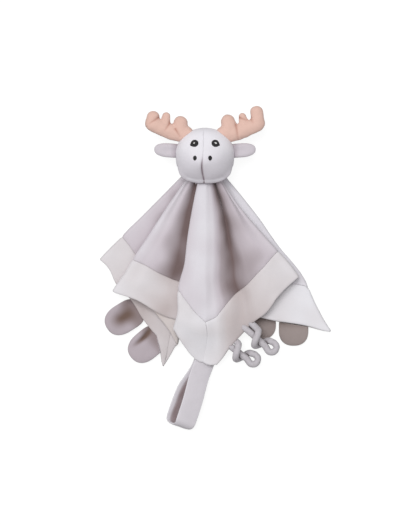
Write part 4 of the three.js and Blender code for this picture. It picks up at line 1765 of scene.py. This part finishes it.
@dataclass
class Antlers:
    """Stuffed antlers: a stem, a broad palm and three blunt tines. Millimetres."""

    apex: Apex
    height: float = 31.0
    flatness: float = 0.78
    limbs: tuple[Limb, ...] = (
        Limb((-24, 24), (-42, 27), (-42, 27), (11.6, 10.8)),
        Limb((-42, 27), (-65, 36.5), (-65, 36.5), (10.8, 9.8)),
        Limb((-66, 37.5), (-64.5, 45.5), (-64.5, 52), (9.6, 8.7)),
        Limb((-49.5, 36), (-48.3, 47), (-46.8, 46), (7.4, 5.9)),
        Limb((-31, 29), (-30.4, 38.4), (-28.6, 40.3), (11.0, 9.6)),
    )
    creases: dict[Side, tuple[tuple[tuple[float, float], tuple[float, float]], ...]] = field(
        default_factory=lambda: {
            Side.LEFT: (((-56.5, 45.7), (-69.6, 37.3)), ((-43, 39.6), (-49.9, 28.9)),
                        ((-37, 31), (-31, 21))),
            Side.RIGHT: (((-38.6, 36), (-41.6, 16)), ((-42.4, 45), (-53, 41.5)),
                         ((-56, 46), (-60, 38))),
        })
    shrink: float = 0.5
    crease: float = 1.5
    crease_width: float = 1.7
    tone_width: float = 1.2
    sides: int = 24
    voxel: float = 1.3
    pressure: float = 3.0
    swell: float = 1.2

    def _limb(self, limb: Limb, side: Side) -> tuple[list[Points], int]:
        """Corners of one limb as a round-ended spindle.

        Args:
            limb: The limb.
            side: Which antler.

        Returns:
            The corners, ring by ring, and the number of rings.
        """
        end = limb.right_end if side is Side.RIGHT else limb.end
        start, stop = (np.array([-side.value * place[0], place[1]], dtype=float)
                       for place in (limb.start, end))
        along = stop - start
        length = np.linalg.norm(along)
        along /= length
        across = np.array([-along[1], along[0]])
        first, last = (r - self.shrink for r in limb.radii)
        quarter = np.linspace(0, math.pi / 2, 9)
        profile = [(first * math.sin(t), -first * math.cos(t)) for t in quarter]
        profile += [(last * math.cos(t), length + last * math.sin(t)) for t in quarter]
        points = []
        for radius, reach in profile:
            for k in range(self.sides):
                angle = 2 * math.pi * k / self.sides
                plan = start + along * reach + across * max(radius, 0.02) * math.cos(angle)
                lift = max(radius, 0.02) * math.sin(angle) * self.flatness
                points.append((*plan, self.height + lift))
        return points, len(profile)

    def _pull(self, side: Side, place: Vector, width: float) -> float:
        """How strongly the creases below the notches pull a corner in.

        Args:
            side: Which antler.
            place: The corner, in metres.
            width: Half the width of a crease.

        Returns:
            From 0 to about 1.
        """
        x, y = self.apex.plan(place)
        x *= -side.value
        pull = 0.0
        for (ax, ay), (bx, by) in self.creases[side]:
            share = min(max(((x - ax) * (bx - ax) + (y - ay) * (by - ay))
                            / ((bx - ax) ** 2 + (by - ay) ** 2), 0), 1)
            away = math.hypot(x - mix(ax, bx, share), y - mix(ay, by, share))
            pull += (1 - 0.7 * share) * hump(away, width)
        return min(pull, 1.2)

    def _creased(self, side: Side, place: Vector, normal: Vector) -> Vector:
        """Draws the creases below the notches, the seam round the edge and some lumps.

        Args:
            side: Which antler.
            place: A corner, in metres.
            normal: Its normal.

        Returns:
            The corner's new place.
        """
        x, y, z = place.x / MM, place.y / MM, place.z / MM - self.height
        lump = 0.6 * noise.noise(Vector((x / 8, y / 8, z / 8)))
        fold = self.crease * self._pull(side, place, self.crease_width) * (1 - hump(z, 2))
        return place + normal * (lump - 0.5 * hump(z, 0.8) - fold) * MM

    def _tone(self, side: Side, place: Vector) -> float:
        """Painted shade on a corner: darker in the creases, and below the seam on the underside.

        Args:
            side: Which antler.
            place: The corner, in metres.

        Returns:
            From 0 on a ridge to 1 in a hollow.
        """
        # Painted shade on the underside and in the creases.
        below = 1 - smooth(place.z / MM - self.height, -1, 3)
        return 0.4 + 0.55 * self._pull(side, place, self.tone_width) + 0.5 * below

    def build(self, trim: Piece) -> list[Piece]:
        """Makes both antlers.

        Args:
            trim: The head's space, which they are cut by.

        Returns:
            The pieces.
        """
        pieces = []
        for side in Side:
            points, faces = [], []
            for limb in self.limbs:
                more, rings = self._limb(limb, side)
                faces += [tuple(len(points) + n for n in face)
                          for face in tube_faces(rings, self.sides)]
                points += more
            name = f"antler_{side.word}"
            piece = make_piece(f"antler_plush_{side.word}", self.apex.metres(points), faces,
                               ANTLER.material())
            bpy.context.view_layer.update()
            inflate(piece, self.voxel * MM, self.pressure, self.swell * MM)
            face_outwards(piece)
            reshape(piece, lambda place, normal: self._creased(side, place, normal))
            subtract(piece, trim)
            face_outwards(piece)
            shade(piece, lambda place, normal: self._tone(side, place))
            pieces.append(SEAMS[name].sew(piece, name, "antler_velour", 0.7, 2, 9))
        return pieces


def leaf(rows: int, columns: int,
         corner: Callable[[float, float], float | Sequence[float]]) -> Points:
    """Works something out for each corner of a leaf, ring by ring from one tip to the other.

    Args:
        rows: Rings.
        columns: Corners in a ring.
        corner: Gives it from the level, near -pi/2 to pi/2, and the angle round the leaf.

    Returns:
        What it gave.
    """
    last = math.pi / 2 - 0.02
    return np.array([corner(level, 2 * math.pi * i / columns)
                     for level in np.linspace(-last, last, rows) for i in range(columns)])


@dataclass
class Ears:
    """Flat stuffed leaves with a hollow in front and a pinched root. Millimetres."""

    apex: Apex
    x: float = 45.0
    y: float = 4.2
    z: float = 30.0
    length: float = 36.5
    width: float = 18.0
    thickness: float = 8.0
    hollow: float = 2.2
    edge: float = 0.35
    rows: int = 48
    columns: int = 64

    def _point(self, side: Side, level: float, angle: float) -> tuple[float, float, float]:
        """One point of an ear.

        Args:
            side: Which ear.
            level: Angle from the root, -pi/2, to the tip, pi/2.
            angle: Angle round the ear.

        Returns:
            The point.
        """
        along, ring = math.sin(level), math.cos(level)
        across, up = ring * math.cos(angle), ring * math.sin(angle)
        power = 2.7 if along > 0 else 4.5
        blunt = (1 - abs(along) ** power) ** (1 / power) / max(ring, 1e-6) if ring > 1e-6 else 1.0
        root = mix(1.0, 0.94, smooth(along, 0.1, 0.95))
        x = self.x + along * self.length / 2
        y = self.y + across * min(blunt, 1.8) * root * self.width / 2 + 1.2 * along
        dish = self.hollow * math.exp(-((across / 0.45) ** 2) - (((along + 0.05) / 0.5) ** 2))
        z = self.z + up * self.thickness / 2 - (dish if up > 0 else dish * 0.4)
        if abs(across) > 0.2:
            y -= math.copysign(self.edge * hump(up, 0.12), across)
        z += 0.35 * noise.noise(Vector((x / 8, y / 8, up * 2)))
        return side.value * x, y, z

    def _tone(self, place: Vector, normal: Vector) -> float:
        """Painted shade on a corner: darker near the head, and where it faces sideways, away from the light
        above.

        Args:
            place: The corner, in metres.
            normal: Its normal.

        Returns:
            From 0 on a ridge to 1 in a hollow.
        """
        # Painted shade near the head and on faces turned away from the light above.
        near = 1 - smooth(abs(self.apex.plan(place)[0]), 34, 46)
        return 0.45 + 0.35 * near + 0.3 * (1 - normal.z) ** 2

    def build(self, trim: Piece) -> list[Piece]:
        """Makes both ears.

        Args:
            trim: The head's space, which they are cut by.

        Returns:
            The pieces.
        """
        pieces = []
        for side in Side:
            points = leaf(self.rows, self.columns,
                          lambda level, angle: self._point(side, level, angle))
            name = f"ear_{side.word}"
            piece = make_piece(f"ear_plush_{side.word}", self.apex.metres(points),
                               tube_faces(self.rows, self.columns), EAR.material())
            face_outwards(piece)
            subtract(piece, trim)
            shade(piece, self._tone)
            pieces.append(SEAMS[name].sew(piece, name, "ear_velour", 0.35, 2, 6))
        return pieces


# ------------------------------------------------------------------------------- at the hem


@dataclass(frozen=True)
class TabPlace:
    """Where one tab is sewn in, and what it is like."""

    name: str
    x: float
    y: float
    turn: float
    length: float
    thickness: float
    ribbed: bool
    dent: tuple[float, float] = (0.0, 0.0)
    dent_width: float = 0.4


@dataclass
class Tabs:
    """Padded paddles sewn into the hem. Millimetres."""

    apex: Apex
    width: float = 37.0
    base: float = 0.3
    root: float = 6.0
    hollow: float = 2.6
    rim: float = 3.0
    rows: int = 56
    columns: int = 72
    layers: tuple[float, ...] = (0.0, 2.2, 4.4, 6.6, 8.8)
    places: tuple[TabPlace, ...] = (
        TabPlace("left_outer", -87, -196, -58, 48, 9, False, (-0.05, -0.05), 0.5),
        TabPlace("left_inner", -60, -228, -50, 48, 9, False, (-0.5, 0.1), 0.16),
        TabPlace("right_inner", 70, -200, 2, 38, 5, True),
        TabPlace("right_outer", 111, -208, 0, 38, 9, True),
    )

    def _point(self, tab: TabPlace, level: float, angle: float) -> tuple[float, float, float]:
        """One point of a tab, in its own frame with the root at +Y.

        Args:
            tab: The tab.
            level: Angle from the tip, -pi/2, to the root, pi/2.
            angle: Angle round the tab.

        Returns:
            The point.
        """
        along, ring = math.sin(level), math.cos(level)
        across, up = ring * math.cos(angle), ring * math.sin(angle)
        power = 2.35 if along < 0 else 4.0
        squared = (1 - abs(along) ** power) ** (1 / power) / max(ring, 1e-3)
        x = across * min(squared, 3.0) * self.width / 2
        y = along * tab.length / 2 - tab.length / 2 + self.root
        z = tab.thickness / 2 + up * (0.72 - 0.28 * along) * tab.thickness / 2
        if not tab.ribbed:
            z -= self.hollow * self._dent(tab, across, along) if up > 0 else 0.0
            raised = self.rim * smooth(abs(across), 0.35, 0.95) * smooth(along, -0.7, 0.4)
            z += raised * (0.6 if across > 0 else 1.0)
        z += 0.4 * noise.noise(Vector((x / 9 + tab.x, y / 9, up)))
        return x, y, z

    @staticmethod
    def _dent(tab: TabPlace, across: float, along: float) -> float:
        """How deep the pinched hollow of a tab is at a place, from 0 to 1."""
        side, far = tab.dent
        return math.exp(-((across - side) / tab.dent_width) ** 2 - ((along - far) / 0.55) ** 2)

    def _tone(self, tab: TabPlace, level: float, angle: float) -> float:
        """Painted shade on a corner: darker in the dent, and near the hem.

        Args:
            tab: The tab.
            level: Angle from the tip, -pi/2, to the root, pi/2.
            angle: Angle round the tab.

        Returns:
            From 0 on a ridge to 1 in a hollow.
        """
        across, along = math.cos(level) * math.cos(angle), math.sin(level)
        # Painted shade in the dent and near the hem.
        dent = 0.0 if tab.ribbed else 0.6 * self._dent(tab, across, along)
        return 0.4 + dent + 0.35 * smooth(along, -0.1, 0.6)

    def build(self, room: Piece) -> list[Piece]:
        """Makes the four tabs.

        Args:
            room: The space of the cloth, which they are cut by.

        Returns:
            The pieces.
        """
        pieces = []
        for tab in self.places:
            points, tones = (
                leaf(self.rows, self.columns, lambda level, angle: rule(tab, level, angle))
                for rule in (self._point, self._tone))
            placed = turned(points, tab.x, tab.y, self.base, tab.turn)
            finish = RIBBED_TAB if tab.ribbed else TAB
            name = f"tab_{tab.name}"
            piece = make_piece(f"tab_pad_{tab.name}", self.apex.metres(placed),
                               tube_faces(self.rows, self.columns), finish.material(), hollow=tones)
            face_outwards(piece)
            for lift in self.layers:
                room.data.transform(Matrix.Translation((0, 0, lift * MM)))
                subtract(piece, room)
                room.data.transform(Matrix.Translation((0, 0, -lift * MM)))
            pieces.append(SEAMS[name].sew(piece, name, finish.name, 0.4, 2, 7))
        return pieces


@dataclass
class KnottedCords:
    """Cords from the hem, once round their own other limb, through a ring and back. Millimetres.

    shares says how much of the line's steps the way out, the turns and the ring take, one after the
    other; the way back takes the rest.
    """

    apex: Apex
    diameter: float = 8.3
    limb: float = 28.0
    knot: float = 20.5
    clearance: float = 0.3
    ring: float = 5.0
    spread: float = 9.4
    drop: float = 8.0
    shares: tuple[float, float, float] = (0.22, 0.5, 0.74)
    steps: int = 260
    sides: int = 20
    own_steps: int = 28
    seam_angle: float = 2.2
    places: tuple[tuple[str, float, float, float, float], ...] = (
        ("upper", 40, -207, 47, 5), ("lower", 14, -226, 52, 0),
    )

    def _middle(self, share: float) -> tuple[float, float, float]:
        """One point of the middle of the cord.

        Args:
            share: How far along it.

        Returns:
            The point, in the cord's own frame with the hem at the origin.
        """
        wrap = self.diameter + self.clearance
        corner = self.limb + self.knot
        out, turns, round_ring = self.shares
        if share < out:
            s = share / out
            return (mix(self.spread, wrap, smooth(s, 0, 1)), -self.limb * s,
                    -self.drop * (1 - smooth(s, 0, 0.9)))
        if share < turns:
            s = (share - out) / (turns - out)
            angle = 2 * math.pi * s
            return wrap * math.cos(angle), -self.limb - self.knot * s, wrap * math.sin(angle)
        if share < round_ring:
            low = -(corner + self.ring + 3) - self.ring * 1.8
            bend = [np.array(p) for p in ((wrap, -corner, 0), (wrap + self.ring * 1.7, low, 0),
                                          (-self.ring * 1.8, low, 0), (0, -corner - 1, 0))]
            return tuple(bezier(bend, (share - turns) / (round_ring - turns)))
        s = (share - round_ring) / (1 - round_ring)
        along = mix(-corner - 1, 0, s)
        return (-mix(0, 2, s * s), along,
                -self.drop * (1 - smooth(min(-along / self.limb, 1), 0, 0.9)))

    def _surface(self) -> tuple[Points, list[float]]:
        """Corners of a cord, ring by ring.

        Returns:
            The corners, and the painted shade of each: darker between the limbs and in the wrinkles.
        """
        line = evenly([self._middle(share) for share in np.linspace(0, 1, 1200)], self.steps)
        for _ in range(6):
            line[1:-1] = (line[:-2] + 2 * line[1:-1] + line[2:]) / 4
        tangent = directions(line)
        one = np.cross(tangent[0], (0, 0, 1))
        index = np.arange(self.steps)
        points, tones = [], []
        for k, (centre, direction) in enumerate(zip(line, tangent)):
            one = one - direction * float(one @ direction)
            one /= np.linalg.norm(one)
            two = np.cross(direction, one)
            others = line[np.abs(index - k) > self.own_steps]
            for i in range(self.sides):
                angle = 2 * math.pi * i / self.sides
                c, s = math.cos(angle), math.sin(angle)
                wrinkle = 1 + 0.1 * noise.noise(Vector((k / 4, c, s * 1.5)))
                from_seam = (angle - self.seam_angle + math.pi) % (2 * math.pi) - math.pi
                radius = self.diameter / 2 * wrinkle * (1 - 0.1 * hump(from_seam, 0.25))
                point = centre + (one * c + two * s) * radius
                near = float(np.linalg.norm(others - point, axis=1).min()) / self.diameter
                # Painted shade where the cord's limbs lie close together and in the wrinkles.
                tones.append(0.4 + 0.6 * (1 - smooth(near, 0.5, 0.8)) + 2.2 * max(1 - wrinkle, 0.0))
                points.append(point)
        return np.array(points), tones

    def build(self, room: Piece) -> list[Piece]:
        """Makes both knotted cords.

        Args:
            room: The space of the cloth, which they are cut by.

        Returns:
            The pieces.
        """
        points, tones = self._surface()
        rise = self.diameter * 1.5 + self.clearance + 0.3
        pieces = []
        for name, x, y, turn, lift in self.places:
            placed = turned(points, x, y, rise + lift, turn)
            piece = make_piece(f"knot_{name}", self.apex.metres(placed),
                               tube_faces(self.steps, self.sides), CORD.material(), hollow=tones)
            face_outwards(piece)
            subtract(piece, room)
            pieces.append(SEAMS[f"cord_{name}"].sew(piece, f"knotted_cord_{name}",
                                                    "cord_velour", 0.6, 2, 8))
        return pieces


@dataclass
class Strap:
    """A band of doubled velour folded into a loop and sewn to the front corner. Millimetres."""

    apex: Apex
    cloth: FoldedCloth
    width: float = 26.0
    length: float = 90.0
    thickness: float = 2.6
    opening: float = 15.0
    turn: float = -19.0
    tilt: float = -17.0
    height: float = 12.5
    slide: float = -8.0
    tuck: float = 5.0
    dip: float = 7.0
    steps: int = 150
    sides: int = 44

    def _line(self) -> Points:
        """Middle line of the band in its side view, evenly spaced.

        Returns:
            The points: how far out, and how high.
        """
        half = self.opening / 2 + self.thickness / 2
        far = self.length - half - self.thickness / 2
        neck = self.thickness / 2 + 0.5
        lower = [np.array(p) for p in ((0, -neck), (far * 0.4, -neck),
                                       (far * 0.55, -half), (far, -half))]
        out = [bezier(lower, s) for s in np.linspace(0, 1, 60, endpoint=False)]
        end = [np.array((far + half * math.cos(angle), half * math.sin(angle)))
               for angle in np.linspace(-math.pi / 2, math.pi / 2, 40, endpoint=False)]
        back = [np.array((p[0], -p[1])) for p in [np.array((far, -half))] + out[::-1]]
        return evenly(out + end + back, self.steps)

    def _section(self) -> list[tuple[float, float]]:
        """Section of the band, thicker at its sewn edges.

        Returns:
            Places across and through it.
        """
        section = []
        for angle in np.linspace(0, 2 * math.pi, self.sides, endpoint=False):
            c, s = math.cos(angle), math.sin(angle)
            swell = 1 + 0.25 * smooth(abs(c), 0.75, 0.97)
            section.append((signed_power(c, 0.45) * self.width / 2,
                            signed_power(s, 0.8) * self.thickness / 2 * swell))
        return section

    def _surface(self) -> tuple[Points, list[float]]:
        """Corners of the band, ring by ring.

        Returns:
            The corners in the strap's own frame, and the painted shade of each: darker inside the loop,
            lighter along its edges.
        """
        line = self._line()
        ahead = directions(line)
        section = self._section()
        half = self.opening / 2
        points, tones = [], []
        for k, (middle, way) in enumerate(zip(line, ahead)):
            out = np.array((-way[1], way[0]))
            low = smooth(-middle[1], -half, half)
            aside = self.slide * smooth(middle[0], 2, self.length * 0.5) * low
            narrow = 1 - 0.12 * hump(middle[0] - self.length, 6)
            for wide, through in section:
                across = wide * narrow
                ripple = 0.45 * noise.noise(Vector((k / 9, across / 9, 1.7)))
                place = middle + out * (through + ripple)
                points.append((place[0], across - aside, place[1]))
                # Painted shade inside the loop and painted light along the edges.
                inside = smooth(through, 0.2, 1.0) * (1 - smooth(across, 6, 10))
                rim = smooth(abs(across), 11.2, 12.6)
                tones.append(0.42 + 0.5 * inside - 0.3 * rim + 0.15 * ripple)
        return np.array(points), tones

    def build(self, room: Piece) -> list[Piece]:
        """Makes the strap.

        Args:
            room: The space of the cloth, which it is cut by.

        Returns:
            The pieces.
        """
        shaped, tones = self._surface()
        tilt, turn = math.radians(90 + self.tilt), math.radians(self.turn - 90)
        stand = Matrix.Rotation(turn, 3, "Z") @ Matrix.Rotation(tilt, 3, "X")
        placed = shaped[:, [0, 2, 1]] @ np.array(stand).T
        placed[:, 2] -= [self.dip * (1 - smooth(out, 3, 30)) for out in shaped[:, 0]]
        placed += (0, -self.cloth.front_reach + self.tuck, self.height)
        piece = make_piece("strap_band", self.apex.metres(placed),
                           tube_faces(self.steps, self.sides), STRAP.material(),
                           hollow=tones)
        face_outwards(piece)
        subtract(piece, room)
        return [SEAMS["strap"].sew(piece, "strap_loop", "strap_velour", 0.2, 4, 10)]


# --------------------------------------------------------------------------------- the studio


@dataclass
class Studio:
    """Camera, lamps and floor of a plain pale studio. Metres."""

    centre: tuple[float, float] = (-0.0058, 0.0061)
    frame_height: float = 0.656
    sensor: float = 24.0
    distance: float = 6.0
    plane: float = 0.02
    sky: float = 0.54
    key: float = 1.7
    key_angle: float = 40.0
    key_from: tuple[float, float, float] = (-0.22, 0.34, 1.0)
    floor_grey: float = 0.2
    floor_glow: float = 0.87
    floor_half: float = 6.0

    def build(self) -> None:
        """Sets the camera, the world, the lamp and the floor."""
        scene = bpy.context.scene
        scene.view_settings.view_transform = "Standard"
        lens = bpy.data.cameras.new("camera")
        lens.sensor_fit = "VERTICAL"
        lens.sensor_height = self.sensor
        lens.lens = self.sensor * self.distance / self.frame_height
        scene.camera = link("camera", lens)
        scene.camera.location = (*self.centre, self.plane + self.distance)
        self._world()
        lamp = bpy.data.lights.new("key", "SUN")
        lamp.energy = self.key
        lamp.angle = math.radians(self.key_angle)
        link("key", lamp).rotation_euler = Vector(self.key_from).to_track_quat("Z", "Y").to_euler()
        self._floor()

    def _world(self) -> None:
        """Lights the world evenly and shows it white."""
        world = bpy.data.worlds.new("studio")
        bpy.context.scene.world = world
        world.use_nodes = True
        tree = Tree(world.node_tree)
        plain = tree.nodes["Background"]
        tree.feed(plain, {"Color": (1, 1, 1, 1), "Strength": self.sky})
        white = tree.add("ShaderNodeBackground", {"Color": (1, 1, 1, 1), "Strength": 1.0})
        both = tree.add("ShaderNodeMixShader", {"Fac": self._seen(tree), 1: plain.outputs[0],
                                                2: white})
        tree.feed(tree.nodes["World Output"], {"Surface": both})

    @staticmethod
    def _seen(tree: Tree) -> Socket:
        """A socket that is 1 for camera, glossy and transmission rays.

        Args:
            tree: The tree that it goes into.

        Returns:
            The socket.
        """
        path = tree.nodes.new("ShaderNodeLightPath").outputs
        first = tree.add("ShaderNodeMath", {0: path["Is Camera Ray"], 1: path["Is Glossy Ray"]},
                         operation="MAXIMUM")
        return tree.add("ShaderNodeMath", {0: first, 1: path["Is Transmission Ray"]},
                        operation="MAXIMUM")

    def _floor(self) -> None:
        """Makes the floor: white where nothing shades it."""
        made, tree, shader = new_material("floor_white")
        glow = tree.add("ShaderNodeMath", {0: self._seen(tree), 1: self.floor_glow},
                        operation="MULTIPLY")
        tree.feed(shader, {"Base Color": (*[self.floor_grey] * 3, 1), "Roughness": 0.9,
                           "Specular IOR Level": 0.1, "Emission Color": (1, 1, 1, 1),
                           "Emission Strength": glow})
        half = self.floor_half
        corners = np.array([(-half, -half, 0), (half, -half, 0), (half, half, 0), (-half, half, 0)])
        make_piece("floor", corners, [(0, 1, 2, 3)], made)


def report(word: str, pieces: Iterable[Piece]) -> None:
    """Logs what was made.

    Args:
        word: The sub-assembly.
        pieces: Its pieces.
    """
    for piece in pieces:
        log.info("%s: %s, %d faces", word, piece.name, len(piece.data.polygons))


def main() -> None:
    """Builds the studio and every sub-assembly in order."""
    logging.basicConfig(level=logging.INFO, format="%(message)s")
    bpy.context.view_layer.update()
    Studio().build()
    apex = Apex.from_frame(Head.crown)
    kit = StitchKit()
    cloth = FoldedCloth(apex)
    report("blanket", cloth.build())
    head = Head(apex)
    trim = head.skin()
    report("head", head.build(kit))
    report("neck", NeckGather(apex, head).build())
    report("face", Face(apex, head).build(kit))
    report("antlers", Antlers(apex).build(trim))
    report("ears", Ears(apex).build(trim))
    room = cloth.room()
    report("tabs", Tabs(apex).build(room))
    report("cords", KnottedCords(apex).build(room))
    report("strap", Strap(apex, cloth).build(room))
    for helper in (trim, room):
        bpy.data.objects.remove(helper)


if __name__ == "__main__":
    main()
